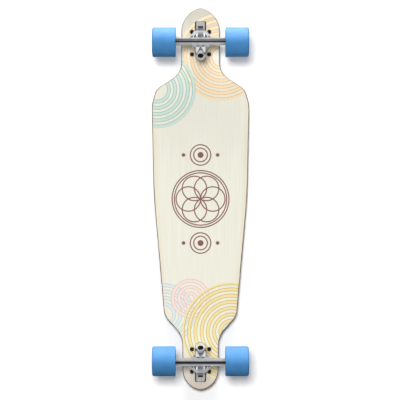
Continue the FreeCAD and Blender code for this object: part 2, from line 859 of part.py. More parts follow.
def draw_kingpin_hole(sketch):
    """Half profile of the kingpin's bore with a wider recess for its head, open at the top."""
    head = s.kingpin_head_radius + s.kingpin_clearance
    draw_outline(sketch, [
        (0, boardside_end),
        (kingpin_bore, boardside_end),
        (kingpin_bore, s.kingpin_grip),
        (head, s.kingpin_grip),
        (head, s.truck_height),
        (0, s.truck_height),
    ])


def make_pivot_cup(end):
    mouth = s.pivot_mouth - s.pivot_to_ring
    back = -s.pivot_back - s.pivot_to_ring
    bore = s.pivot_pin_radius + s.pivot_clearance
    floor = back + s.pivot_cup_radius - bore
    body = lathe(f"{end}_pivot_cup", "YZ_Plane", "H_Axis", [
        (back, 0),
        (floor, 0),
        (floor, bore),
        (mouth, bore),
        (mouth, s.pivot_cup_radius),
        (back, s.pivot_cup_radius),
    ])
    place(body, *kingpin_place(end))
    return body


def make_kingpin(end):
    chamfer = s.kingpin_chamfer
    foot = -roadside_end - s.washer_thickness - s.kingpin_nut_height - s.kingpin_tail
    head_top = s.kingpin_grip + s.kingpin_head_height
    body = turned_on_kingpin(f"{end}_kingpin", [
        (0, foot),
        (kingpin_radius - chamfer, foot),
        (kingpin_radius, foot + chamfer),
        (kingpin_radius, s.kingpin_grip),
        (s.kingpin_head_radius, s.kingpin_grip),
        (s.kingpin_head_radius, head_top),
        (0, head_top),
    ])
    place(body, *kingpin_place(end))
    return body


def hex_nut(label, flats, height, bore):
    """Plain hexagon nut standing on its frame's XY plane."""
    body = new_body(label)
    sketch = new_sketch(body, "XY_Plane")
    draw_hexagon(sketch, flats)
    draw_circle(sketch, 0, 0, bore)
    extrude(body, "Pad", sketch, height)
    return body


def make_kingpin_nut(end):
    body = hex_nut(f"{end}_kingpin_nut", s.kingpin_nut_flats, s.kingpin_nut_height, kingpin_bore)
    level = -roadside_end - s.washer_thickness - s.kingpin_nut_height
    place(body, *kingpin_place(end), local_place(0, 0, level))
    return body


def make_boardside_bushing(end):
    """Barrel bushing between the hanger's ring and the baseplate's ramp."""
    middle = (boardside_start + boardside_end) / 2
    body = turned_on_kingpin(f"{end}_boardside_bushing", [
        (kingpin_bore, boardside_start),
        (s.bushing_radius, boardside_start, s.bushing_edge_radius),
        (s.bushing_radius + s.bushing_crown, middle, s.bushing_crown_radius),
        (s.bushing_radius, boardside_end, s.bushing_edge_radius),
        (kingpin_bore, boardside_end),
    ])
    place(body, *kingpin_place(end))
    return body


def make_roadside_bushing(end):
    """Cone bushing in the hanger's cup."""
    body = turned_on_kingpin(f"{end}_roadside_bushing", [
        (kingpin_bore, -roadside_end),
        (s.bushing_tip_radius, -roadside_end, s.bushing_tip_edge_radius),
        (s.bushing_radius, -s.ring_floor_below, s.bushing_tip_edge_radius),
        (kingpin_bore, -s.ring_floor_below),
    ])
    place(body, *kingpin_place(end))
    return body


def cup_washer(label, bushing_end, bushing_radius, away):
    """Washer whose lip folds back over the end of a bushing."""
    outer_face = bushing_end + s.washer_thickness * away
    lip_edge = bushing_end - s.washer_lip * away
    lip_bore = bushing_radius + s.washer_lip_gap
    lip_outside = lip_bore + s.washer_lip_wall
    return turned_on_kingpin(label, [
        (kingpin_bore, bushing_end),
        (lip_bore, bushing_end),
        (lip_bore, lip_edge),
        (lip_outside, lip_edge),
        (lip_outside, outer_face),
        (kingpin_bore, outer_face),
    ])


def make_bushing_washers(end):
    upper = cup_washer("upper_washer", boardside_end, s.bushing_radius, 1)
    lower = cup_washer("lower_washer", -roadside_end, s.bushing_tip_radius, -1)
    for washer in (upper, lower):
        place(washer, *kingpin_place(end))
    return group(f"{end}_bushing_washers", [upper, lower])


def make_mounting_bolts(end):
    bolts = []
    foot = s.truck_height - s.deck_thickness - s.bolt_tail
    seat = s.truck_height + s.plate_thickness
    radius = s.bolt_diameter / 2
    head = s.bolt_head_diameter / 2
    for x, y in bolt_places(as_size(0), 1):
        bolt = turned_on_kingpin("bolt", [
            (0, foot),
            (radius, foot),
            (radius, seat),
            (head, seat),
            (head, seat + s.bolt_head_height / 2),
            (head - s.bolt_head_height / 2, seat + s.bolt_head_height),
            (0, seat + s.bolt_head_height),
        ])
        place(bolt, truck_place(end), local_place(x, y, 0))
        bolts.append(bolt)
    return group(f"{end}_mounting_bolts", bolts)


def make_mounting_nuts(end):
    nuts = []
    level = s.truck_height - s.deck_thickness - s.nut_height
    for x, y in bolt_places(as_size(0), 1):
        nut = hex_nut("nut", s.nut_flats, s.nut_height, s.bolt_diameter / 2 + s.fit_clearance)
        place(nut, truck_place(end), local_place(x, y, level))
        nuts.append(nut)
    return group(f"{end}_mounting_nuts", nuts)


# Truck pieces that steer


def make_hanger(end):
    body = new_body(f"{end}_hanger")

    bar = new_sketch(body, "YZ_Plane")
    draw_outline(bar, [
        (-s.bar_inner, -s.bar_below, s.bar_edge_radius),
        (s.bar_outer, -s.bar_below, s.bar_edge_radius),
        (s.bar_outer, s.bar_above / 2, s.bar_edge_radius),
        (s.bar_outer / 3, s.bar_above, s.bar_edge_radius),
        (-s.bar_inner, s.bar_above, s.bar_edge_radius),
    ])
    extrude(body, "Pad", bar, s.hanger_bar_width, both_ways=True)

    boss = new_sketch(body, "YZ_Plane")
    draw_circle(boss, 0, 0, s.shoulder_boss_radius)
    extrude(body, "Pad", boss, s.hanger_width, both_ways=True)

    wings = new_sketch(body, "XY_Plane")
    lean_sketch(wings, -s.ring_rim)
    draw_outline(wings, mirrored([
        (s.wing_half_width, -s.wing_root),
        (s.wing_half_width, -s.wing_tip),
        (s.wing_waist_half_width, -s.wing_waist, s.wing_waist_radius),
        (s.ring_corner_half_width, s.ring_end, s.ring_corner_radius),
    ]))
    wing_pad = extrude(body, "Pad", wings, s.ring_rim + s.ring_floor_above)

    def on_wing_rim(edge):
        ups = []
        alongs = []
        for vertex in edge.Vertexes:
            outwards = vertex.Y - ring_out.value
            upwards = vertex.Z - ring_up.value
            ups.append(upwards * lean_cos.value - outwards * lean_sin.value)
            alongs.append(outwards * lean_cos.value + upwards * lean_sin.value)
        at_rim = all(abs(up + s.ring_rim.value) < SMALL for up in ups)
        return at_rim and max(alongs) > -s.wing_tip.value - SMALL and min(alongs) > -s.wing_root.value + SMALL

    ease_edges(body, wing_pad, "Chamfer", s.wing_chamfer, on_wing_rim)

    recesses = new_sketch(body, "XY_Plane")
    lean_sketch(recesses, -s.ring_rim)
    for across in (-1, 1):
        draw_wing_recess(recesses, across)
    extrude(body, "Pocket", recesses, s.wing_recess_depth, reverse=True)

    web = new_sketch(body, "XZ_Plane")
    raise_sketch(web, s.bar_inner)
    web_top = kingpin_frame_point(-s.wing_root, s.ring_floor_above)[1]
    draw_outline(web, [
        (-s.wing_half_width, 0),
        (s.wing_half_width, 0),
        (s.wing_waist_half_width, web_top),
        (-s.wing_waist_half_width, web_top),
    ])
    extrude(body, "Pad", web, s.web_thickness, reverse=True)

    arm = new_sketch(body, "XY_Plane")
    raise_sketch(arm, -s.arm_below)
    flare_end = s.arm_flare_length + s.arm_flare_half_width - s.arm_root_half_width
    draw_outline(arm, mirrored([
        (s.arm_tip_half_width, -s.arm_reach),
        (s.arm_root_half_width, -flare_end),
        (s.arm_flare_half_width, -s.arm_flare_length),
        (s.arm_flare_half_width, 0),
    ]))
    extrude(body, "Pad", arm, s.arm_below + s.arm_above)

    belly = new_sketch(body, "YZ_Plane")
    draw_outline(belly, [
        (-s.bar_inner, -s.arm_below * 2),
        (-s.bar_inner, -s.arm_below),
        (-s.arm_reach, -s.arm_tip_below),
        (-s.arm_reach * 2, -s.arm_tip_below),
        (-s.arm_reach * 2, -s.arm_below * 2),
    ])
    extrude(body, "Pocket", belly, s.arm_flare_half_width * 3, both_ways=True)

    arm_end = new_sketch(body, "YZ_Plane")
    swing_sketch(arm_end)
    clear_of_housing = s.pivot_mouth - s.pivot_to_ring + s.arm_end_gap
    sweep = s.pivot_housing_radius * 2
    draw_box(arm_end, clear_of_housing - sweep, -sweep, clear_of_housing, sweep)
    extrude(body, "Pocket", arm_end, s.arm_flare_half_width * 3, both_ways=True)

    pin = new_sketch(body, "YZ_Plane")
    swing_sketch(pin)
    pin_root = clear_of_housing + s.pivot_pin_radius
    pin_tip = -s.pivot_to_ring - s.pivot_back + s.pivot_cup_radius - s.pivot_pin_radius
    draw_outline(pin, [
        (pin_tip, 0),
        (pin_root, 0),
        (pin_root, s.pivot_pin_radius),
        (pin_tip, s.pivot_pin_radius, s.pivot_pin_radius / 2),
    ])
    revolve_feature(body, "Revolution", pin)

    cup = new_sketch(body, "YZ_Plane")
    swing_sketch(cup)
    draw_ring_bore(cup)
    revolve_feature(body, "Groove", cup, "V_Axis")

    windows = new_sketch(body, "XY_Plane")
    raise_sketch(windows, -s.arm_below)
    for across in (-1, 1):
        draw_arm_pocket(windows, across)
    extrude(body, "Pocket", windows, s.arm_pocket_depth, reverse=True)

    groove = new_sketch(body, "YZ_Plane")
    depth = s.bar_below * 2
    draw_box(groove, -s.groove_inner, -depth, s.groove_outer, -s.groove_roof)
    extrude(body, "Pocket", groove, s.hanger_bar_width * 2, both_ways=True)

    bore = new_sketch(body, "YZ_Plane")
    draw_circle(bore, 0, 0, shaft_bore)
    extrude(body, "Pocket", bore, s.hanger_width * 2, both_ways=True)
    place(body, truck_place(end))
    return body


def draw_ring_bore(sketch):
    """Half profile of the ring's cup, its bore and the upper bushing's seat."""
    low = -s.ring_rim * CUT_THROUGH
    high = s.ring_floor_above * CUT_THROUGH
    seat = s.bushing_radius + s.ring_seat_clearance
    draw_outline(sketch, [
        (0, low),
        (s.ring_cup_radius, low),
        (s.ring_cup_radius, -s.ring_floor_below),
        (s.ring_bore_radius, -s.ring_floor_below),
        (s.ring_bore_radius, boardside_start),
        (seat, boardside_start),
        (seat, high),
        (0, high),
    ])


def draw_wing_recess(sketch, across):
    """Shallow three-cornered recess in the face of one wing."""
    near = s.ring_cup_radius + s.wing_recess_wall
    draw_outline(sketch, [
        (near * across, s.wing_recess_wall / 2 - s.wing_tip),
        (s.wing_waist_half_width * across, -s.wing_tip),
        (near * across, s.ring_end / 4),
    ])


def draw_arm_pocket(sketch, across):
    """One of the two weight-saving pockets beside the arm's rib."""
    near = -s.bar_inner - s.arm_wall
    far = -s.arm_reach + s.arm_wall * 2
    near_side = s.arm_root_half_width - s.arm_wall * 2
    far_side = s.arm_tip_half_width - s.arm_wall
    draw_outline(sketch, [
        (s.arm_rib * across, near),
        (near_side * across, near),
        (far_side * across, far),
        (s.arm_rib_foot * across, far),
    ])


def make_axle(end):
    chamfer = s.axle_chamfer
    tip = s.axle_length / 2
    body = turned_on_axle(f"{end}_axle", [
        (-tip, 0),
        (tip, 0),
        (tip, axle_radius - chamfer),
        (tip - chamfer, axle_radius),
        (chamfer - tip, axle_radius),
        (-tip, axle_radius - chamfer),
    ])
    place(body, truck_place(end))
    return body


def axle_stack(first, last, bore, radius):
    """Ring profile between two places along the axle."""
    return [(first, bore), (last, bore), (last, radius), (first, radius)]


def make_axle_nuts(end):
    nuts = []
    face = bearing_offset + s.bearing_width / 2 + s.speed_washer_thickness
    for side in SIDES:
        nut = hex_nut("axle_nut", s.axle_nut_flats, s.axle_nut_height, shaft_bore)
        place(nut, *side_place(end, side), local_place(face, 0, 0, "0; 1; 0", "90"))
        nuts.append(nut)
    return group(f"{end}_axle_nuts", nuts)


def make_speed_washers(end):
    washers = []
    face = bearing_offset + s.bearing_width / 2
    for side in SIDES:
        for first in (-face - s.speed_washer_thickness, face):
            last = first + s.speed_washer_thickness
            section = axle_stack(first, last, shaft_bore, s.speed_washer_radius)
            washer = turned_on_axle("speed_washer", section)
            place(washer, *side_place(end, side))
            washers.append(washer)
    return group(f"{end}_speed_washers", washers)


def make_inner_races(end):
    races = []
    half = s.bearing_width / 2
    for side in SIDES:
        for middle in (-bearing_offset, bearing_offset):
            profile = axle_stack(middle - half, middle + half, shaft_bore, s.inner_race_radius)
            race = turned_on_axle("inner_race", profile)
            place(race, *side_place(end, side))
            races.append(race)
    return group(f"{end}_bearing_inner_races", races)


def make_spacers(end):
    spacers = []
    half = s.spacer_length / 2
    for side in SIDES:
        spacer = turned_on_axle("spacer", axle_stack(-half, half, shaft_bore, s.spacer_radius))
        place(spacer, *side_place(end, side))
        spacers.append(spacer)
    return group(f"{end}_bearing_spacers", spacers)


# Wheel pieces


def make_tyre(end, side):
    """Urethane tyre: square inner lip, rounded outer lip, side walls that dish in to the core."""
    half = s.wheel_width / 2
    radius = s.wheel_diameter / 2
    lip = radius - s.lip_depth
    body = turned_on_axle(f"{end}_{side}_tyre", [
        (s.dish_depth - half, s.core_radius),
        (half - s.dish_depth, s.core_radius),
        (half, lip, s.lip_face_radius),
        (half, radius, s.outer_lip_radius),
        (-half, radius, s.inner_lip_radius),
        (-half, lip, s.lip_face_radius),
    ])
    place(body, *side_place(end, side))
    return body


def make_core(end, side):
    """Hub core with two bearing seats and a rib between them."""
    half = s.wheel_width / 2 - s.dish_depth - s.core_end_inset
    rib = s.spacer_length / 2
    seat_end = rib + s.bearing_width
    seat = bearing_radius + s.fit_clearance
    outside = s.core_radius - s.fit_clearance
    body = turned_on_axle(f"{end}_{side}_core", [
        (-half, s.core_mouth_radius),
        (-seat_end, s.core_mouth_radius),
        (-seat_end, seat),
        (-rib, seat),
        (-rib, s.core_rib_radius),
        (rib, s.core_rib_radius),
        (rib, seat),
        (seat_end, seat),
        (seat_end, s.core_mouth_radius),
        (half, s.core_mouth_radius),
        (half, outside),
        (-half, outside),
    ])
    place(body, *side_place(end, side))
    return body


def make_outer_races(end, side):
    races = []
    half = s.bearing_width / 2
    for middle in (-bearing_offset, bearing_offset):
        profile = axle_stack(middle - half, middle + half, s.outer_race_bore_radius, bearing_radius)
        race = turned_on_axle("outer_race", profile)
        place(race, *side_place(end, side))
        races.append(race)
    return group(f"{end}_{side}_bearing_outer_races", races)


def make_shields(end, side):
    shields = []
    bore = s.inner_race_radius + s.shield_gap
    rim = s.outer_race_bore_radius - s.fit_clearance
    for middle in (-bearing_offset, bearing_offset):
        for outward in (-1, 1):
            face = middle + (s.bearing_width / 2 - s.shield_inset) * outward
            back = face - s.shield_thickness * outward
            low, high = (back, face) if outward > 0 else (face, back)
            shield = turned_on_axle("shield", axle_stack(low, high, bore, rim))
            place(shield, *side_place(end, side))
            shields.append(shield)
    return group(f"{end}_{side}_bearing_shields", shields)


def make_truck(end):
    return [
        make_baseplate(end),
        make_pivot_cup(end),
        make_kingpin(end),
        make_kingpin_nut(end),
        make_boardside_bushing(end),
        make_roadside_bushing(end),
        make_bushing_washers(end),
        make_mounting_bolts(end),
        make_mounting_nuts(end),
        make_hanger(end),
        make_axle(end),
        make_axle_nuts(end),
        make_speed_washers(end),
        make_inner_races(end),
        make_spacers(end),
    ]


def make_wheel(end, side):
    return [
        make_tyre(end, side),
        make_core(end, side),
        make_outer_races(end, side),
        make_shields(end, side),
    ]


def check_and_write(nodes):
    """Stop on any failed feature or bad shape, then write one file for each node."""
    doc.recompute()
    failed = [thing.Name for thing in doc.Objects if "Invalid" in thing.State or "Error" in thing.State]
    if failed:
        raise RuntimeError(f"features that failed: {failed}")
    for node in nodes:
        if node.Shape.isNull() or not node.Shape.isValid() or not node.Shape.Solids:
            raise RuntimeError(f"bad shape in {node.Label}")
    os.makedirs("parts", exist_ok=True)
    for node in nodes:
        node.Shape.exportStep(f"parts/{node.Label}.step")


def main():
    nodes = [make_deck(), make_grip()]
    for end in TRUCKS:
        nodes.extend(make_truck(end))
        for side in SIDES:
            nodes.extend(make_wheel(end, side))
    check_and_write(nodes)


main()
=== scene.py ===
"""Looks of a drop-through longboard, built round its packed construction model."""

import json
import math

import bmesh
import bpy
from bpy.props import FloatProperty, FloatVectorProperty, PointerProperty
from mathutils import Matrix, Vector


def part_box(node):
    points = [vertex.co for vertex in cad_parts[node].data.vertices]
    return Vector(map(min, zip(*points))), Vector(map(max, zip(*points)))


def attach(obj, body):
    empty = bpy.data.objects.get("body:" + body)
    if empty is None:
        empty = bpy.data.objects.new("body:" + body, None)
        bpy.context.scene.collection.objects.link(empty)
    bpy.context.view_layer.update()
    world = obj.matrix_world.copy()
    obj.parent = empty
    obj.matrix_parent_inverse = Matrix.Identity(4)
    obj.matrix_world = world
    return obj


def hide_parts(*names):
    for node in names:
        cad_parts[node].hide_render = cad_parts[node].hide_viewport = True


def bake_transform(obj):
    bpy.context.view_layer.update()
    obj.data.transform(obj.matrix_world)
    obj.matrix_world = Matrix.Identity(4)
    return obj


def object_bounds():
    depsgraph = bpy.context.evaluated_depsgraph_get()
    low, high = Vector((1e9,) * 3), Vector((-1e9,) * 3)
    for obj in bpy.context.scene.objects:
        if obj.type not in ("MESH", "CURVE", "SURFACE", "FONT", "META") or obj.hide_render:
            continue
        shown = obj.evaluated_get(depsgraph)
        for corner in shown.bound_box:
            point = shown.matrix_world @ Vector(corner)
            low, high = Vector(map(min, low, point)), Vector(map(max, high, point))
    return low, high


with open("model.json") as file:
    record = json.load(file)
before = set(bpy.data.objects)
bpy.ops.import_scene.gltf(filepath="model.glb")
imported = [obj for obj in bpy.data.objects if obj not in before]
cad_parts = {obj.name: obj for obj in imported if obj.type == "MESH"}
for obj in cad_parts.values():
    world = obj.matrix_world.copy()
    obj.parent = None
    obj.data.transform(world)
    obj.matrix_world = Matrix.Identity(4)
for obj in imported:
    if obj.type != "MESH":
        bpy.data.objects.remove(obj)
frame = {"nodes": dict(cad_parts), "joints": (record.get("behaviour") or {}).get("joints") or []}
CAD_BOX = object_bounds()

bl_info = {
    "name": "Longboard looks",
    "version": (1, 0, 0),
    "blender": (4, 5, 0),
    "location": "View3D > Sidebar > Longboard",
    "description": "Finishes and small pieces of a drop-through longboard",
    "category": "Object",
}

MM = 0.001
TURN = 2 * math.pi
SEGMENTS = 48
HEXAGON = 6
ENDS = ("front", "rear")
SIDES = ("left", "right")
JOINTS = {joint["name"]: joint for joint in frame["joints"]}


def tone(red, green, blue):
    """Linear colour of a screen colour given from 0 to 255."""
    brightest = 255
    offset = 0.055
    gamma = 2.4
    levels = (red / brightest, green / brightest, blue / brightest)
    return tuple(((level + offset) / (1 + offset)) ** gamma for level in levels)


def dimmed(base, amount):
    """A colour at a share of its lightness."""
    return [level * amount for level in base]


# Settings that a user can change


def colour(name, description, red, green, blue):
    """A colour, given as it looks on a screen."""
    default = tone(red, green, blue)
    return FloatVectorProperty(
        name=name, description=description, default=default, subtype="COLOR", size=3, min=0, max=1
    )


def length(name, description, millimetres):
    """A size, kept in metres."""
    default = millimetres * MM
    return FloatProperty(
        name=name, description=description, default=default, min=0, unit="LENGTH", precision=5
    )


def share(name, description, default):
    """A number from nought to one."""
    return FloatProperty(
        name=name, description=description, default=default, min=0, max=1, subtype="FACTOR"
    )


def brightness(name, description, default):
    """A light level from nought up."""
    return FloatProperty(name=name, description=description, default=default, min=0)


class DeckLooks(bpy.types.PropertyGroup):
    """Sizes and colours of the deck and its grip sheet."""

    cream: colour("Cream", "Ground of the printed underside", 237, 235, 221)
    # Painted shade of the concave: a yellower, darker ground along the rails
    rail_shade: colour("Rail cream", "Ground near the rails", 236, 230, 212)
    ink: colour("Ink", "Brown of the line print", 128, 84, 80)
    light_ply: colour("Light ply", "Pale layers of the sawn edge", 190, 160, 122)
    dark_ply: colour("Dark ply", "Dark layers of the sawn edge", 122, 92, 66)
    ply: length("Ply", "Thickness of one wood layer", 1.57)
    # The band of painted shade along a rail is this wide
    rail_band: length("Rail band", "Width of the yellower ground along a rail", 11.0)
    line: length("Line", "Width of the printed lines", 2.8)
    rosette: length("Rosette", "Outer radius of the printed rosette", 68.0)
    grip: colour("Grip", "Abrasive sheet on the standing side", 30, 30, 31)


class TruckLooks(bpy.types.PropertyGroup):
    """Sizes and colours of the truck castings, bushings and hardware."""

    casting: colour("Casting", "Cast aluminium of hanger and baseplate", 188, 189, 191)
    # Painted highlight on the hanger arm's facets and round the pivot
    painted_highlight: colour("Polished", "Polished places of the castings", 236, 237, 238)
    # Painted shade in the castings' corners, channels, hollows and keyhole
    painted_shade: colour("Grime", "Corners and channels of the castings", 58, 58, 60)
    steel: colour("Steel", "Plated axle nuts, washers and races", 196, 197, 199)
    kingpin: colour("Kingpin", "Dulled steel of the kingpin and its nut", 160, 161, 164)
    # Cup washers: polished, and painted lighter than the other steel as a painted highlight
    washer: colour("Washer", "Polished cup washers", 238, 238, 240)
    axle: colour("Axle", "Dark drawn axle bar", 76, 76, 78)
    black: colour("Black hardware", "Mounting bolts and nuts", 26, 26, 27)
    bushing: colour("Bushing", "Urethane of the bushings", 44, 44, 47)
    cup: colour("Pivot cup", "Urethane of the pivot cups", 18, 18, 19)
    socket: length("Socket", "Half of the hexagon key that fits the mounting bolts", 1.6)
    socket_depth: length("Socket depth", "Depth of the key's socket", 1.8)
    thread: length("Thread", "Pitch of the small threads", 0.8)


class WheelLooks(bpy.types.PropertyGroup):
    """Sizes and colours of the wheels."""

    tyre: colour("Tyre", "Urethane of the tyres", 75, 137, 194)
    core: colour("Core", "Hub cores", 222, 226, 230)
    shield: colour("Shield", "Rubber shields of the bearings", 40, 41, 44)
    lathe_lines: length("Lathe lines", "Spacing of the fine turned lines", 0.9)


class StageLooks(bpy.types.PropertyGroup):
    """Camera and light levels."""

    camera_below: length("Camera below", "Camera distance under the axles", 3200)
    view_width: length("View width", "Width of the picture at the deck's underside", 957.6)
    key: share("Key", "Light level of the soft lamp that faces the underside", 0.87)
    top: brightness("Top", "Light level of the lamp beyond the nose", 1.7)
    glint: share("Glint", "Light level of the lamp beyond the nose that bright metal mirrors", 0.2)
    tyre_glint: brightness("Tyre glint", "Level of the lamp that only the satin of the tyres shows", 8.0)
    upper: share("Upper", "Light level of the lamp over the standing side", 0.68)
    sky: share("Sky", "Light level from all round", 0.1)


LOOKS = {
    "longboard_deck": DeckLooks,
    "longboard_truck": TruckLooks,
    "longboard_wheel": WheelLooks,
    "longboard_stage": StageLooks,
}


# Shader maths

# A Mix node's colour sockets go by their places, because its other data types share their names
MIX_AMOUNT = 0
MIX_FIRST = 6
MIX_SECOND = 7
MIX_RESULT = 2


class Shade:
    """A shader socket that adds Math nodes where it is used in arithmetic."""

    def __init__(self, finish, socket):
        self.finish = finish
        self.socket = socket

    def math(self, operation, *values):
        """Math node on numbers and sockets."""
        return self.finish.node("ShaderNodeMath", {"operation": operation}, dict(enumerate(values)))

    def __add__(self, other):
        return self.math("ADD", self, other)

    __radd__ = __add__

    def __sub__(self, other):
        return self.math("SUBTRACT", self, other)

    def __rsub__(self, other):
        return self.math("SUBTRACT", other, self)

    def __mul__(self, other):
        return self.math("MULTIPLY", self, other)

    __rmul__ = __mul__

    def __truediv__(self, other):
        return self.math("DIVIDE", self, other)

    def __rtruediv__(self, other):
        return self.math("DIVIDE", other, self)

    def __mod__(self, other):
        return self.math("FLOORED_MODULO", self, other)

    def __abs__(self):
        return self.math("ABSOLUTE", self)

    def __or__(self, other):
        return self.math("MAXIMUM", self, other)

    def __and__(self, other):
        return self.math("MINIMUM", self, other)

    def floor(self):
        """Whole number just below."""
        return self.math("FLOOR", self)

    def sine(self):
        """Sine of an angle."""
        return self.math("SINE", self)

    def reach(self, other):
        """Distance from the origin of two places."""
        return self.math("SQRT", self * self + other * other)

    def step(self, low, high):
        """Smooth rise from 0 at low to 1 at high."""
        limits = {"Value": self, "From Min": low, "From Max": high}
        return self.finish.node("ShaderNodeMapRange", {"interpolation_type": "SMOOTHSTEP"}, limits)

    def band(self, low, high, soft):
        """1 between low and high, 0 outside, with soft edges."""
        return self.step(low - soft, low + soft) * (1 - self.step(high - soft, high + soft))


class Finish:
    """A material or world whose nodes are written as expressions."""

    def __init__(self, tree):
        self.tree = tree
        self.tree.nodes.clear()

    def node(self, kind, settings=None, sockets=None, output=0):
        """Any node: its settings first, then the values or links of its sockets."""
        made = self.tree.nodes.new(kind)
        for name, value in (settings or {}).items():
            setattr(made, name, value)
        for key, value in (sockets or {}).items():
            if isinstance(value, Shade):
                self.tree.links.new(value.socket, made.inputs[key])
            else:
                made.inputs[key].default_value = value
        if not made.outputs:
            return None
        return Shade(self, made.outputs[output])

    def coordinates(self):
        """Object coordinates as a vector."""
        return self.node("ShaderNodeTexCoord", output="Object")

    def split(self, vector):
        """The three numbers of a vector."""
        sockets = {"Vector": vector}
        return [self.node("ShaderNodeSeparateXYZ", sockets=sockets, output=axis) for axis in range(3)]

    def place(self):
        """Object coordinates as three numbers."""
        return self.split(self.coordinates())

    def facing(self):
        """Surface normal as three numbers."""
        return self.split(self.node("ShaderNodeNewGeometry", output="Normal"))

    def point(self, x, y, z):
        """Vector of three numbers."""
        return self.node("ShaderNodeCombineXYZ", sockets={"X": x, "Y": y, "Z": z})

    def ray(self, kind):
        """1 for light rays of a kind, such as Camera."""
        return self.node("ShaderNodeLightPath", output=f"Is {kind} Ray")

    def mirrored(self):
        """1 for what metal and glass show of their surroundings."""
        return self.ray("Glossy") | self.ray("Transmission")

    def noise(self, scale, detail=2.0, where=None):
        """Cloudy pattern from 0 to 1 on Object coordinates, or on a vector of its own."""
        sockets = {"Vector": where or self.coordinates(), "Scale": scale, "Detail": detail}
        return self.node("ShaderNodeTexNoise", sockets=sockets)

    def grain(self, detail, *places):
        """Stretched cloudy pattern on three places, each already multiplied by its fineness."""
        return self.noise(scale=1.0, detail=detail, where=self.point(*places))

    def open_share(self, distance):
        """1 where the surface lies open, less in corners and gaps narrower than a distance."""
        settings = {"samples": 8}
        return self.node("ShaderNodeAmbientOcclusion", settings, {"Distance": distance}, "AO")

    def mix(self, amount, first, second, blend="MIX"):
        """Colour between two colours, or of both where they are blended another way."""
        settings = {"data_type": "RGBA", "blend_type": blend}
        sockets = {MIX_AMOUNT: amount, MIX_FIRST: solid(first), MIX_SECOND: solid(second)}
        return self.node("ShaderNodeMix", settings, sockets, MIX_RESULT)

    def tint(self, base, amount, scale, where=None):
        """A colour with a cloudy change of lightness both ways."""
        cloud = self.noise(scale, detail=3.0, where=where).step(0.3, 0.7)
        lighter = [min(1.0, level) for level in dimmed(base, 1 + amount)]
        return self.mix(cloud, dimmed(base, 1 - amount), lighter)

    def bump(self, height, strength, depth):
        """Normal of a surface that a height from 0 to 1 raises by a depth."""
        sockets = {"Height": height, "Strength": strength, "Distance": depth}
        return self.node("ShaderNodeBump", sockets=sockets)

    def principled(self, **sockets):
        """Surface shader, with socket names written in lower case with underscores."""
        named = {}
        for name, value in sockets.items():
            title = name.replace("_", " ").title().replace("Ior", "IOR")
            named[title] = value
        named["Base Color"] = solid(named["Base Color"])
        self.output(self.node("ShaderNodeBsdfPrincipled", sockets=named))

    def output(self, shader, kind="Material"):
        """Show a shader."""
        self.node(f"ShaderNodeOutput{kind}", sockets={"Surface": shader})


def solid(value):
    """Colour with its alpha, or a link as it is."""
    if isinstance(value, Shade):
        return value
    return (*value, 1.0)


def new_material(name):
    """A material with no nodes yet, and the finish that writes them."""
    material = bpy.data.materials.new(name)
    material.use_nodes = True
    return material, Finish(material.node_tree)


def dress(material, *names):
    """Give CAD nodes a material."""
    for name in names:
        for held in frame["nodes"][name].material_slots:
            held.material = material


# Stage


def sheet_piece(name, level, half_width, faces_up):
    """Flat square of the stage at a level, seen from above or from below."""
    mesh = bpy.data.meshes.new(name)
    shape = bmesh.new()
    bmesh.ops.create_grid(shape, x_segments=1, y_segments=1, size=half_width)
    if not faces_up:
        bmesh.ops.reverse_faces(shape, faces=shape.faces)
    bmesh.ops.translate(shape, verts=shape.verts, vec=(0, 0, level))
    shape.to_mesh(mesh)
    shape.free()
    piece = bpy.data.objects.new(name, mesh)
    piece.visible_shadow = False
    bpy.context.scene.collection.objects.link(piece)
    return piece


def one_sided_white(name, albedo, glow, mirrored_glow):
    """White sheet that shows its front only, with a soft shadow where the board is near."""
    material, finish = new_material(name)
    shadow_reach = 350 * MM
    camera = finish.ray("Camera")
    mirrored = finish.mirrored()
    behind = finish.node("ShaderNodeNewGeometry", output="Backfacing")
    strength = camera * finish.open_share(shadow_reach) * glow + mirrored * mirrored_glow
    lit = finish.node("ShaderNodeBsdfDiffuse", sockets={"Color": (albedo, albedo, albedo, 1)})
    own = finish.node("ShaderNodeEmission", sockets={"Strength": strength})
    white = finish.node("ShaderNodeAddShader", sockets={0: lit, 1: own})
    clear = finish.node("ShaderNodeBsdfTransparent")
    shown = (camera | mirrored) * (1 - behind)
    finish.output(finish.node("ShaderNodeMixShader", sockets={0: shown, 1: clear, 2: white}))
    return material


def lamp(name, place, aim, size, level, mirrored=True):
    """Round soft lamp whose light level at its aim is given against a white of 1."""
    light = bpy.data.lights.new(name, "AREA")
    light.shape = "DISK"
    light.size = size
    reach = Vector(place) - Vector(aim)
    # The lamp's spread and a matt sheet's spread each take a factor of pi
    light.energy = level * math.pi**2 * reach.length_squared
    piece = bpy.data.objects.new(name, light)
    piece.location = place
    piece.rotation_euler = reach.to_track_quat("Z", "Y").to_euler()
    piece.visible_camera = False
    piece.visible_glossy = mirrored
    bpy.context.scene.collection.objects.link(piece)
    return piece


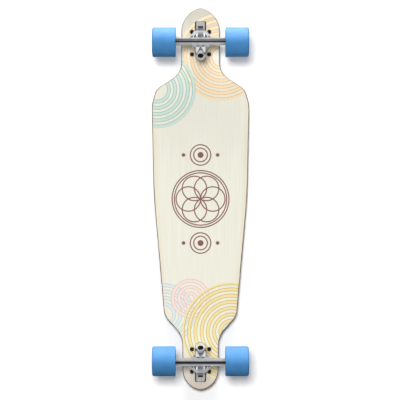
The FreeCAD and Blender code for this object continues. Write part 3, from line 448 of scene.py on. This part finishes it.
class LONGBOARD_OT_stage(bpy.types.Operator):
    """Set the floor, backdrop, lamps and camera"""

    bl_idname = "longboard.stage"
    bl_label = "Stage"

    def execute(self, context):
        looks = context.scene.longboard_stage
        self.make_sheets()
        self.make_lamps(looks)
        self.make_sky(context, looks.sky)
        self.make_camera(context, looks)
        context.scene.view_settings.view_transform = "Standard"
        return {"FINISHED"}

    def make_sheets(self):
        """Floor under the wheels, and the backdrop that a camera below sees behind the board."""
        half_width = 6.0
        backdrop_gap = 6 * MM
        backdrop_level = CAD_BOX[1][2] + backdrop_gap
        floor = sheet_piece("floor", 0.0, half_width, faces_up=True)
        floor_white = one_sided_white("floor_white", albedo=0.3, glow=0.68, mirrored_glow=0.75)
        floor.data.materials.append(floor_white)
        backdrop = sheet_piece("backdrop", backdrop_level, half_width, faces_up=False)
        backdrop_white = one_sided_white("backdrop_white", albedo=1.0, glow=0.08, mirrored_glow=0.3)
        backdrop.data.materials.append(backdrop_white)

    def make_lamps(self, looks):
        """Lamps under the board, beyond its nose and over it, with places and sizes in metres."""
        middle = (0, 0, 0.05)
        below = (0.36, 0.9, -4.0)
        below_size = 1.4
        beyond_nose = (0, 20.0, -1.3)
        nose_size = 13.7
        above = (-1.2, -0.9, 3.4)
        above_size = 1.8
        lamp("underside_lamp", below, middle, below_size, looks.key, mirrored=False)
        lamp("nose_lamp", beyond_nose, middle, nose_size, looks.top, mirrored=False)
        lamp("nose_glint", beyond_nose, middle, nose_size, looks.glint)
        satin = lamp("tyre_glint", beyond_nose, middle, nose_size, looks.tyre_glint)
        self.keep_to_tyres(satin)
        lamp("upper_lamp", above, middle, above_size, looks.upper)

    def keep_to_tyres(self, satin):
        """Screen a lamp off everything but the gloss of the tyres."""
        tyres = bpy.data.collections.new("tyres")
        for end in ENDS:
            for side in SIDES:
                tyres.objects.link(frame["nodes"][f"{end}_{side}_tyre"])
        satin.visible_diffuse = False
        satin.light_linking.receiver_collection = tyres

    def make_sky(self, context, level):
        """Plain white surroundings that look white and light the board softly."""
        world = bpy.data.worlds.new("studio")
        world.use_nodes = True
        finish = Finish(world.node_tree)
        seen = finish.ray("Camera") | finish.mirrored()
        strength = level + seen * (1 - level)
        sockets = {"Strength": strength, "Color": (1, 1, 1, 1)}
        finish.output(finish.node("ShaderNodeBackground", sockets=sockets), "World")
        context.scene.world = world

    def make_camera(self, context, looks):
        """Camera under the board, looking straight up with the nose at the top of the picture."""
        axle_height = JOINTS["front_left_wheel_spin"]["pos_m"][2]
        deck_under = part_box("deck")[0][2]
        pixels = 400
        centre_column = 200.55
        centre_row = 199.0
        pixel = looks.view_width / pixels
        x = (centre_column - pixels / 2) * pixel
        y = (centre_row - pixels / 2) * pixel
        level = axle_height - looks.camera_below
        data = bpy.data.cameras.new("photo_camera")
        data.lens = data.sensor_width * (deck_under - level) / looks.view_width
        camera = bpy.data.objects.new("photo_camera", data)
        camera.location = (x, y, level)
        camera.rotation_euler = (0, math.pi, 0)
        context.scene.collection.objects.link(camera)
        context.scene.camera = camera


# Deck

# Printed ripples: centre, then inner and outer radius in millimetres, then fill and outline
RIPPLES = (
    ((-50, 340), (22, 104), tone(247, 222, 184), tone(231, 184, 121)),
    ((104, 262), (24, 92), tone(203, 225, 213), tone(152, 186, 176)),
    ((88, -276), (20, 74), tone(222, 228, 225), tone(190, 203, 203)),
    ((24, -238), (8, 48), tone(243, 221, 211), tone(227, 192, 182)),
    ((-74, -318), (22, 118), tone(238, 220, 162), tone(204, 176, 88)),
)
RIPPLE_PITCH = 15 * MM
RIPPLE_WIDTH = 9 * MM
RIPPLE_LINE = 1.5 * MM
PRINT_SOFT = 0.2 * MM


class LONGBOARD_OT_deck(bpy.types.Operator):
    """Print the deck's underside and show the plies on its edge"""

    bl_idname = "longboard.deck"
    bl_label = "Deck"

    def execute(self, context):
        looks = context.scene.longboard_deck
        material, finish = new_material("printed_maple")
        x, y, z = finish.place()
        print_colour = self.ground(finish, looks, x, y)
        for ripple in RIPPLES:
            print_colour = self.ripples(finish, print_colour, x, y, *ripple)
        ink = self.rosette(looks, x, y) | self.rings(looks, x, y)
        print_colour = finish.mix(ink, print_colour, looks.ink)
        under = 1 - finish.facing()[2].step(-0.95, -0.9)
        wood = self.plies(finish, looks, x, y, z)
        across_fibre = 900
        along_fibre = 40
        fibre = finish.grain(3.0, x * across_fibre, y * along_fibre, z * across_fibre)
        finish.principled(
            base_color=finish.mix(under, wood, print_colour),
            roughness=0.62 - under * 0.2 + fibre * 0.08,
            coat_weight=under * 0.1,
            normal=finish.bump(fibre, strength=0.15, depth=0.1 * MM),
        )
        dress(material, "deck")
        return {"FINISHED"}

    def ground(self, finish, looks, x, y):
        """Cream with a yellower, darker band along each rail as painted shade of the concave, a faint
        grain, and painted shade darkening the ends.
        """
        widest = 112.6 * MM
        widest_y = 10 * MM
        tail_taper = 0.089
        nose_flare = 0.02
        band_soft = 1.5 * MM
        forward = y - widest_y
        rail = (widest + forward * tail_taper) & (widest + forward * nose_flare)
        # Painted shade of the concave: a yellower, darker band along each rail
        band = (abs(x) - rail + looks.rail_band).step(-band_soft, band_soft)
        cream = finish.mix(band, looks.cream, looks.rail_shade)
        # Painted shade: the nose and tail darken towards their tips, the tail browner
        nose = y.step(330 * MM, 450 * MM)
        tail = (0 - y).step(340 * MM, 450 * MM)
        shaded_ends = finish.mix(nose * 0.9, cream, tone(204, 198, 183))
        shaded_ends = finish.mix(tail * 0.6, shaded_ends, tone(204, 186, 173))
        across_grain = 420
        along_grain = 6
        grain = finish.grain(3.0, x * across_grain, y * along_grain, 0.0).step(0.35, 0.65)
        shade = finish.mix(grain, tone(250, 249, 246), (1, 1, 1))
        return finish.mix(1.0, shaded_ends, shade, blend="MULTIPLY")

    def ripples(self, finish, ground, x, y, centre, radii, fill, outline):
        """Concentric arcs with a darker outline, as if spreading from a rail."""
        inner, outer = radii
        radius = (x - centre[0] * MM).reach(y - centre[1] * MM)
        inside = radius.band(inner * MM, outer * MM, PRINT_SOFT)
        phase = (radius - inner * MM) % RIPPLE_PITCH
        half = RIPPLE_WIDTH / 2
        body = phase.band(0.0, RIPPLE_WIDTH, PRINT_SOFT) * inside
        edge = abs(phase - half).band(half - RIPPLE_LINE, half, PRINT_SOFT) * inside
        return finish.mix(edge, finish.mix(body, ground, fill), outline)

    def line(self, looks, distance):
        """Ink along a curve, given the distance from it."""
        return 1 - abs(distance).step(looks.line * 0.4, looks.line * 0.6)

    def dot(self, radius, size, soft):
        """Ink inside a round spot."""
        return 1 - radius.step(size, size + soft)

    def rosette(self, looks, x, y):
        """Six crossing circles inside two rings."""
        petals = 6
        petal = looks.rosette * 0.43
        inner_ring = looks.rosette * 0.92
        radius = x.reach(y)
        ink = self.line(looks, radius - looks.rosette) | self.line(looks, radius - inner_ring)
        for count in range(petals):
            turn = TURN * count / petals
            away = (x - petal * math.cos(turn)).reach(y - petal * math.sin(turn))
            ink = ink | self.line(looks, away - petal)
        return ink

    def rings(self, looks, x, y):
        """Two rings round a dot, with a dot on each side, before and behind the rosette."""
        middle = looks.rosette * 1.55
        outer_ring = looks.rosette * 0.36
        inner_ring = looks.rosette * 0.24
        dot_size = looks.rosette * 0.1
        side_dot_size = looks.rosette * 0.06
        side_dot_place = looks.rosette * 0.6
        soft = looks.rosette * 0.01
        along = abs(y) - middle
        radius = x.reach(along)
        ink = self.line(looks, radius - outer_ring) | self.line(looks, radius - inner_ring)
        ink = ink | self.dot(radius, dot_size, soft)
        return ink | self.dot((abs(x) - side_dot_place).reach(along), side_dot_size, soft)

    def plies(self, finish, looks, x, y, z):
        """Layers of the pressed wood, which follow the concave."""
        flat = 45 * MM
        concave = 370 * MM
        streak = 0.82
        out = (abs(x) - flat) | 0.0
        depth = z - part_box("deck")[0][2] - out * out / (2 * concave)
        layer = (depth / looks.ply).floor() % 2.0
        along_ply = 60
        through_ply = 900
        grain = finish.grain(4.0, x * along_ply, y * along_ply, z * through_ply)
        pale = finish.mix(grain, dimmed(looks.light_ply, streak), looks.light_ply)
        dark = finish.mix(grain, dimmed(looks.dark_ply, streak), looks.dark_ply)
        return finish.mix(layer, dark, pale)


class LONGBOARD_OT_grip(bpy.types.Operator):
    """Give the standing side its abrasive sheet"""

    bl_idname = "longboard.grip"
    bl_label = "Grip"

    def execute(self, context):
        looks = context.scene.longboard_deck
        material, finish = new_material("grit")
        sparkle = tone(62, 62, 64)
        grit = finish.noise(scale=1500)
        grain = finish.mix(grit.step(0.45, 0.75), dimmed(looks.grip, 0.6), sparkle)
        worn = finish.tint(looks.grip, amount=0.3, scale=9)
        finish.principled(
            base_color=finish.mix(0.6, worn, grain),
            roughness=0.92 - grit * 0.2,
            normal=finish.bump(grit, strength=0.6, depth=0.3 * MM),
        )
        dress(material, "grip_tape")
        return {"FINISHED"}


# Trucks


def cast_metal(finish, looks, dark, painted_highlight):
    """Tumbled cast aluminium, with painted shade in its corners and where it is marked dark, and painted
    highlights, lighter and less metallic, where they are marked.
    """
    narrow = 5 * MM
    grain = finish.noise(scale=700, detail=3)
    tumbled = finish.tint(looks.casting, amount=0.08, scale=90)
    # Painted highlights: lighter and less metallic where marked
    unshaded = finish.mix(painted_highlight, tumbled, looks.painted_highlight)
    # Painted shade in corners and narrow gaps, from the open share of the surface
    corners = (1 - finish.open_share(narrow)).step(0.2, 0.9) * 0.8 * (1 - painted_highlight)
    finish.principled(
        base_color=finish.mix(corners | dark, unshaded, looks.painted_shade),
        metallic=0.75 - painted_highlight * 0.6,
        roughness=0.42 + grain * 0.16,
        normal=finish.bump(grain, strength=0.18, depth=0.12 * MM),
    )


def truck_places(finish, end):
    """Places across a truck, outwards from its axle to the board's tip, and above its axle."""
    _, axle_y, axle_z = JOINTS[f"{end}_left_wheel_spin"]["pos_m"]
    x, y, z = finish.place()
    return abs(x), (y - axle_y) * math.copysign(1, axle_y), z - axle_z


def hanger_metal(looks, end):
    """Casting with painted shade in the axle channel and on the arm's rib and flanks, and painted
    highlights on the facets between them.
    """
    material, finish = new_material(f"{end}_hanger_metal")
    across, outwards, above = truck_places(finish, end)
    soft = 0.2 * MM
    channel_middle = {"front": 1.0 * MM, "rear": 3.9 * MM}[end]
    channel_half = 2.4 * MM
    channel_foot = -14 * MM
    # Painted shade along the axle channel, placed separately for each end
    channel = 1 - abs(outwards - channel_middle).step(channel_half, channel_half + 0.3 * MM)
    channel = channel * above.band(channel_foot, 0.0, soft)
    rib_start = -12 * MM
    rib_half = 2.2 * MM
    rib_slope = 0.47
    rib = rib_half - (outwards - rib_start) * rib_slope
    beside_rib = (across - rib).step(-soft, soft)
    flank = across.step(11.2 * MM, 11.6 * MM)
    wing = across.step(19 * MM, 21 * MM)
    arm_tip = -25 * MM
    arm_root = -10.6 * MM
    arm = outwards.band(arm_tip, arm_root, soft) * (1 - above.step(2 * MM, 3 * MM))
    # Painted highlights on the facets beside the rib; painted shade on the rib and flanks
    facet = beside_rib * (1 - flank) * arm
    arm_shade = ((1 - beside_rib) | flank * (1 - wing)) * arm
    cast_metal(finish, looks, dark=channel * 0.8 | arm_shade * 0.5, painted_highlight=facet * 0.9)
    return material


def baseplate_metal(looks, end):
    """Casting with painted shade round the nose block's hollow and in the keyhole, and a painted
    highlight round the pivot.
    """
    material, finish = new_material(f"{end}_baseplate_metal")
    across, outwards, above = truck_places(finish, end)
    underside = 1 - above.step(60 * MM, 61 * MM)
    # Painted shade round the nose block's hollow and, darker, in the keyhole
    hollow = outwards.band(28 * MM, 40 * MM, 3 * MM) * (1 - across.step(6 * MM, 9 * MM))
    keyhole = outwards.band(39 * MM, 44.8 * MM, 0.7 * MM) * (1 - across.step(5.4 * MM, 7 * MM))
    # Painted highlight round the pivot
    pivot = 1 - outwards.step(-34 * MM, -30 * MM)
    dark = (hollow * 0.6 | keyhole * 0.85) * underside
    cast_metal(finish, looks, dark=dark, painted_highlight=pivot * underside * 0.4)
    return material


def bright_steel(name, base):
    """Plated turned steel."""
    material, finish = new_material(name)
    scratch = finish.noise(scale=1100)
    finish.principled(
        base_color=finish.tint(base, amount=0.14, scale=160),
        metallic=0.95,
        roughness=0.24 + scratch * 0.14,
        normal=finish.bump(scratch, strength=0.08, depth=0.05 * MM),
    )
    return material


def axle_steel(looks):
    """Drawn bar with threaded ends."""
    material, finish = new_material("axle")
    x, y, z = finish.place()
    thread_start = 98 * MM
    threaded = abs(x).step(thread_start, thread_start + looks.thread)
    thread = (x * (TURN / looks.thread)).sine() * threaded
    along_bar = 30
    round_bar = 1400
    drawn = finish.grain(2.0, x * along_bar, y * round_bar, z * round_bar)
    streaks = finish.point(x * 0.2, y, z)
    finish.principled(
        base_color=finish.tint(looks.axle, amount=0.15, scale=60, where=streaks),
        metallic=0.9,
        roughness=0.3 + drawn * 0.2,
        normal=finish.bump(thread + drawn * 0.1, strength=0.5, depth=0.15 * MM),
    )
    return material


def black_oxide(looks):
    """Oiled black steel of the mounting hardware."""
    material, finish = new_material("black_oxide")
    oil = finish.noise(scale=420)
    finish.principled(
        base_color=finish.tint(looks.black, amount=0.35, scale=240),
        metallic=0.4,
        roughness=0.38 + oil * 0.2,
        normal=finish.bump(oil, strength=0.05, depth=0.05 * MM),
    )
    return material


def bushing_urethane(looks):
    """Cast urethane with a satin skin."""
    material, finish = new_material("bushing_urethane")
    skin = finish.noise(scale=300)
    finish.principled(
        base_color=finish.tint(looks.bushing, amount=0.18, scale=70),
        roughness=0.42 + skin * 0.16,
        normal=finish.bump(skin, strength=0.08, depth=0.08 * MM),
    )
    return material


def cup_urethane(looks):
    """Dull black urethane of the pivot cups, dusty on its skin."""
    material, finish = new_material("pivot_urethane")
    dust = finish.noise(scale=260, detail=3)
    finish.principled(
        base_color=finish.tint(looks.cup, amount=0.3, scale=90),
        roughness=0.7 + dust * 0.2,
        specular_ior_level=0.1,
        normal=finish.bump(dust, strength=0.1, depth=0.08 * MM),
    )
    return material


class LONGBOARD_OT_trucks(bpy.types.Operator):
    """Finish the truck castings, steel and pivot cups"""

    bl_idname = "longboard.trucks"
    bl_label = "Trucks"

    def execute(self, context):
        looks = context.scene.longboard_truck
        steel = bright_steel("steel", looks.steel)
        kingpin = bright_steel("kingpin_steel", looks.kingpin)
        axle = axle_steel(looks)
        cup = cup_urethane(looks)
        # The cup washers get a lighter steel as a painted highlight
        washer = bright_steel("washer_steel", looks.washer)
        plated = ("speed_washers", "bearing_inner_races", "bearing_spacers")
        for end in ENDS:
            dress(hanger_metal(looks, end), f"{end}_hanger")
            dress(baseplate_metal(looks, end), f"{end}_baseplate")
            dress(steel, *(f"{end}_{piece}" for piece in plated))
            dress(kingpin, f"{end}_kingpin")
            dress(washer, f"{end}_bushing_washers")
            dress(axle, f"{end}_axle")
            dress(cup, f"{end}_pivot_cup")
        return {"FINISHED"}


# Bushings and hardware


def turned(profile, closed=True, cuts=0):
    """Shape of (height, radius) points turned round Z, with the edges between them cut finer."""
    shape = bmesh.new()
    points = [shape.verts.new((radius, 0, height)) for height, radius in profile]
    followers = points[1:]
    if closed:
        followers.append(points[0])
    edges = [shape.edges.new(pair) for pair in zip(points, followers)]
    if cuts:
        bmesh.ops.subdivide_edges(shape, edges=edges, cuts=cuts)
    outline = shape.verts[:] + shape.edges[:]
    bmesh.ops.spin(
        shape, geom=outline, axis=(0, 0, 1), cent=(0, 0, 0), angle=TURN, steps=SEGMENTS, use_merge=True
    )
    bmesh.ops.remove_doubles(shape, verts=shape.verts, dist=0.001 * MM)
    return shape


def cut_flats(shape, flats):
    """Saw the six flats of a hexagon off a turned shape, at a distance from its axis."""
    for count in range(HEXAGON):
        turn = TURN * count / HEXAGON
        outwards = Vector((math.cos(turn), math.sin(turn), 0))
        whole = shape.verts[:] + shape.edges[:] + shape.faces[:]
        sawn = bmesh.ops.bisect_plane(
            shape, geom=whole, plane_co=outwards * flats, plane_no=outwards, clear_outer=True
        )
        rim = [item for item in sawn["geom_cut"] if isinstance(item, bmesh.types.BMEdge)]
        bmesh.ops.edgeloop_fill(shape, edges=rim)


def hexagon_corner(flats):
    """Reach of a hexagon's corners, from that of its flats."""
    return flats / math.cos(TURN / 2 / HEXAGON)


def set_at(shape, places):
    """Put a shape at the first place and copies of it at the others."""
    whole = shape.verts[:] + shape.edges[:] + shape.faces[:]
    own_points = shape.verts[:]
    for place in places[1:]:
        copied = bmesh.ops.duplicate(shape, geom=whole)["geom"]
        points = [item for item in copied if isinstance(item, bmesh.types.BMVert)]
        bmesh.ops.transform(shape, matrix=place, verts=points)
    bmesh.ops.transform(shape, matrix=places[0], verts=own_points)


def finish_piece(name, shape, material, node):
    """Object from a finished shape, standing for a CAD node."""
    sharp = math.radians(32)
    bmesh.ops.recalc_face_normals(shape, faces=shape.faces)
    mesh = bpy.data.meshes.new(name)
    shape.to_mesh(mesh)
    shape.free()
    for face in mesh.polygons:
        face.use_smooth = True
    mesh.set_sharp_from_angle(angle=sharp)
    mesh.materials.append(material)
    piece = bpy.data.objects.new(name, mesh)
    bpy.context.scene.collection.objects.link(piece)
    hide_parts(node)
    return piece


def kingpin_frame(end):
    """Frame at the hanger's ring: Y along the steering axis and Z up the kingpin."""
    joint = JOINTS[f"{end}_steer"]
    along = Vector(joint["axis"]).normalized()
    across = Vector((math.copysign(1, along.y), 0, 0))
    up = across.cross(along)
    turn = Matrix((across, along, up)).transposed().to_4x4()
    return Matrix.Translation(joint["pos_m"]) @ turn


# Outsides of the bushings, as heights up the kingpin and radii in millimetres
BARREL = (
    (2, 11.4), (2.4, 11.75), (3.4, 11.9), (6.4, 12.2), (9.5, 12.35),
    (12.6, 12.2), (15.6, 11.9), (16.6, 11.7), (17, 11.2),
)
CONE = (
    (-4, 11.2), (-4.4, 11.55), (-5.2, 11.5), (-8.4, 10.3),
    (-11.4, 9.35), (-12.6, 8.9), (-13, 8.4),
)
BUSHING_BORE = 6.8


class LONGBOARD_OT_bushings(bpy.types.Operator):
    """Mould the bushings that sit between the hanger and the board"""

    bl_idname = "longboard.bushings"
    bl_label = "Bushings"

    def execute(self, context):
        material = bushing_urethane(context.scene.longboard_truck)
        for end in ENDS:
            self.mould(end, "boardside", BARREL, material, hanger_height=3.5, board_height=16.5)
            self.mould(end, "roadside", CONE, material, hanger_height=-4.5, board_height=-12.5)
        return {"FINISHED"}

    def mould(self, end, side, outside, material, hanger_height, board_height):
        """One bushing, with fine rings along its length."""
        name = f"{end}_{side}_bushing"
        first_height = outside[0][0]
        last_height = outside[-1][0]
        profile = [(first_height, BUSHING_BORE), *outside, (last_height, BUSHING_BORE)]
        shape = turned([(height * MM, radius * MM) for height, radius in profile], cuts=2)
        ring = kingpin_frame(end)
        set_at(shape, [ring])
        piece = finish_piece(f"{name}_piece", shape, material, name)
        start = ring @ Vector((0, 0, hanger_height * MM))
        stop = ring @ Vector((0, 0, board_height * MM))
        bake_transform(piece)


# Radius of a mounting bolt's head
BOLT_HEAD = 4.6 * MM


def lock_nut(flats, height, bore):
    """Hexagon nut with its nylon collar at height 0."""
    corner = hexagon_corner(flats) * 0.99
    land = flats * 0.97
    collar = height * 0.3
    chamfer = (corner - flats) * 0.7
    shape = turned([
        (height, bore),
        (height, land),
        (height - chamfer, corner),
        (collar + chamfer, corner),
        (collar, land),
        (collar, flats * 0.9),
        (collar * 0.4, flats * 0.88),
        (0, flats * 0.76),
        (0, bore * 1.06),
        (collar, bore),
    ])
    cut_flats(shape, flats)
    return shape


def bolt(height, looks):
    """Round-headed bolt with its tip at height 0, a hexagon socket and the last turns of its thread."""
    head_height = 2.6 * MM
    shank = 2.4 * MM
    root = shank * 0.84
    tip = shank * 0.8
    turns = 4
    seat = height - head_height
    profile = [
        (height, BOLT_HEAD - head_height * 0.6),
        (height - head_height * 0.25, BOLT_HEAD - head_height * 0.2),
        (height - head_height * 0.5, BOLT_HEAD),
        (seat, BOLT_HEAD),
        (seat, shank),
    ]
    for turn in range(turns, 0, -1):
        profile.append((looks.thread * turn, shank))
        profile.append((looks.thread * (turn - 0.5), root))
    profile += [(0, tip), (0, 0)]
    shape = turned(profile, closed=False)
    sink_socket(shape, height, looks)
    return shape


def sink_socket(shape, top, looks):
    """Close the open top of a bolt round a hexagon socket."""
    rim = [edge for edge in shape.edges if edge.is_boundary]
    corner = hexagon_corner(looks.socket)
    place = Matrix.Translation((0, 0, top))
    mouth = bmesh.ops.create_circle(shape, segments=HEXAGON, radius=corner, matrix=place)["verts"]
    mouth_edges = list({edge for point in mouth for edge in point.link_edges})
    bmesh.ops.triangle_fill(shape, use_beauty=True, edges=rim + mouth_edges)
    walls = bmesh.ops.extrude_edge_only(shape, edges=mouth_edges)["geom"]
    floor = [item for item in walls if isinstance(item, bmesh.types.BMVert)]
    floor_edges = [item for item in walls if isinstance(item, bmesh.types.BMEdge)]
    bmesh.ops.translate(shape, verts=floor, vec=(0, 0, -looks.socket_depth))
    bmesh.ops.edgeloop_fill(shape, edges=floor_edges)


class LONGBOARD_OT_hardware(bpy.types.Operator):
    """Make the mounting bolts, lock nuts, axle nuts and kingpin nuts"""

    bl_idname = "longboard.hardware"
    bl_label = "Hardware"

    def execute(self, context):
        looks = context.scene.longboard_truck
        black = black_oxide(looks)
        steel = bright_steel("axle_nut_steel", looks.steel)
        kingpin = bright_steel("kingpin_nut_steel", looks.kingpin)
        for end in ENDS:
            self.mounting_bolts(end, looks, black)
            self.mounting_nuts(end, black)
            self.axle_nuts(end, steel)
            self.kingpin_nut(end, kingpin)
        return {"FINISHED"}

    def bolt_places(self, end, height):
        """The four bolt centres of one truck at a height, from the box of its bolts."""
        low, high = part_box(f"{end}_mounting_bolts")
        columns = (low[0] + BOLT_HEAD, high[0] - BOLT_HEAD)
        rows = (low[1] + BOLT_HEAD, high[1] - BOLT_HEAD)
        return [Matrix.Translation((x, y, height)) for x in columns for y in rows]

    def mounting_bolts(self, end, looks, material):
        """The four bolts of one truck."""
        node = f"{end}_mounting_bolts"
        low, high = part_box(node)
        shape = bolt(high[2] - low[2], looks)
        set_at(shape, self.bolt_places(end, low[2]))
        piece = finish_piece(f"{end}_bolt_pieces", shape, material, node)
        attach(piece, "board")

    def mounting_nuts(self, end, material):
        """The four nuts of one truck."""
        node = f"{end}_mounting_nuts"
        low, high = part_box(node)
        shape = lock_nut(flats=4.75 * MM, height=high[2] - low[2], bore=2.42 * MM)
        set_at(shape, self.bolt_places(end, low[2]))
        piece = finish_piece(f"{end}_nut_pieces", shape, material, node)
        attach(piece, "board")

    def axle_nuts(self, end, material):
        """The nuts at both tips of one axle, collars outwards."""
        node = f"{end}_axle_nuts"
        low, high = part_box(node)
        _, y, z = JOINTS[f"{end}_left_wheel_spin"]["pos_m"]
        shape = lock_nut(flats=6.35 * MM, height=6.5 * MM, bore=4.02 * MM)
        places = []
        for x, turn in ((low[0], TURN / 4), (high[0], -TURN / 4)):
            places.append(Matrix.Translation((x, y, z)) @ Matrix.Rotation(turn, 4, "Y"))
        set_at(shape, places)
        piece = finish_piece(f"{end}_axle_nut_pieces", shape, material, node)
        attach(piece, f"{end}_truck_hanger")

    def kingpin_nut(self, end, material):
        """The nut under the lower washer, collar downwards."""
        washer_face = -14.5 * MM
        height = 7 * MM
        shape = lock_nut(flats=7.15 * MM, height=height, bore=4.95 * MM)
        set_at(shape, [kingpin_frame(end) @ Matrix.Translation((0, 0, washer_face - height))])
        node = f"{end}_kingpin_nut"
        piece = finish_piece(f"{node}_piece", shape, material, node)
        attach(piece, "board")


# Wheels


def wheel_places(finish, end, side):
    """Distance across a wheel and from its axle."""
    centre = JOINTS[f"{end}_{side}_wheel_spin"]["pos_m"]
    x, y, z = finish.place()
    return x - centre[0], (y - centre[1]).reach(z - centre[2])


def tyre_urethane(looks, end, side):
    """Poured urethane with fine turned lines."""
    material, finish = new_material(f"{end}_{side}_tyre")
    across, radius = wheel_places(finish, end, side)
    lines = ((across + radius) * (TURN / looks.lathe_lines)).sine()
    skin = finish.noise(scale=500)
    finish.principled(
        base_color=finish.tint(looks.tyre, amount=0.05, scale=60),
        roughness=0.7 + skin * 0.1,
        specular_ior_level=0.2,
        normal=finish.bump(lines * 0.3 + skin, strength=0.06, depth=0.06 * MM),
    )
    return material


def core_plastic(looks, end, side):
    """Moulded hub core with a bumped groove round its face, darkened by painted shade."""
    material, finish = new_material(f"{end}_{side}_core")
    _, radius = wheel_places(finish, end, side)
    groove = radius.band(13.6 * MM, 14.2 * MM, 0.15 * MM)
    skin = finish.noise(scale=400)
    pale = finish.tint(looks.core, amount=0.05, scale=80)
    finish.principled(
        # Painted shade in the groove, at half the core's lightness
        base_color=finish.mix(groove * 0.5, pale, dimmed(looks.core, 0.5)),
        roughness=0.34 + skin * 0.12,
        normal=finish.bump(skin * 0.2 - groove, strength=0.3, depth=0.2 * MM),
    )
    return material


def shield_rubber(looks, end, side):
    """Rubber shield with a pressed ring."""
    material, finish = new_material(f"{end}_{side}_shield")
    _, radius = wheel_places(finish, end, side)
    ring = radius.band(7.2 * MM, 7.7 * MM, 0.1 * MM)
    skin = finish.noise(scale=600)
    finish.principled(
        base_color=finish.tint(looks.shield, amount=0.2, scale=120),
        roughness=0.5 + skin * 0.15,
        normal=finish.bump(ring + skin * 0.1, strength=0.4, depth=0.15 * MM),
    )
    return material


class LONGBOARD_OT_wheels(bpy.types.Operator):
    """Finish the tyres, cores and bearings"""

    bl_idname = "longboard.wheels"
    bl_label = "Wheels"

    def execute(self, context):
        looks = context.scene.longboard_wheel
        races = bright_steel("race_steel", context.scene.longboard_truck.steel)
        for end in ENDS:
            for side in SIDES:
                dress(tyre_urethane(looks, end, side), f"{end}_{side}_tyre")
                dress(core_plastic(looks, end, side), f"{end}_{side}_core")
                dress(shield_rubber(looks, end, side), f"{end}_{side}_bearing_shields")
                dress(races, f"{end}_{side}_bearing_outer_races")
        return {"FINISHED"}


# Add-on


class LONGBOARD_PT_looks(bpy.types.Panel):
    """Operators of the longboard's looks"""

    bl_label = "Longboard"
    bl_idname = "LONGBOARD_PT_looks"
    bl_space_type = "VIEW_3D"
    bl_region_type = "UI"
    bl_category = "Longboard"

    def draw(self, context):
        """A button for each operator."""
        for operator in OPERATORS:
            self.layout.operator(operator.bl_idname)


OPERATORS = (
    LONGBOARD_OT_stage,
    LONGBOARD_OT_deck,
    LONGBOARD_OT_grip,
    LONGBOARD_OT_trucks,
    LONGBOARD_OT_bushings,
    LONGBOARD_OT_hardware,
    LONGBOARD_OT_wheels,
)
CLASSES = (*LOOKS.values(), *OPERATORS, LONGBOARD_PT_looks)


def register():
    """Add the classes, and the settings to every scene."""
    for made in CLASSES:
        bpy.utils.register_class(made)
    for name, group in LOOKS.items():
        setattr(bpy.types.Scene, name, PointerProperty(type=group))


def unregister():
    """Take the settings and classes away again."""
    for name in LOOKS:
        delattr(bpy.types.Scene, name)
    for made in reversed(CLASSES):
        bpy.utils.unregister_class(made)


def main():
    """Dress the longboard."""
    register()
    bpy.ops.longboard.stage()
    bpy.ops.longboard.deck()
    bpy.ops.longboard.grip()
    bpy.ops.longboard.trucks()
    bpy.ops.longboard.bushings()
    bpy.ops.longboard.hardware()
    bpy.ops.longboard.wheels()


if __name__ == "__main__":
    main()
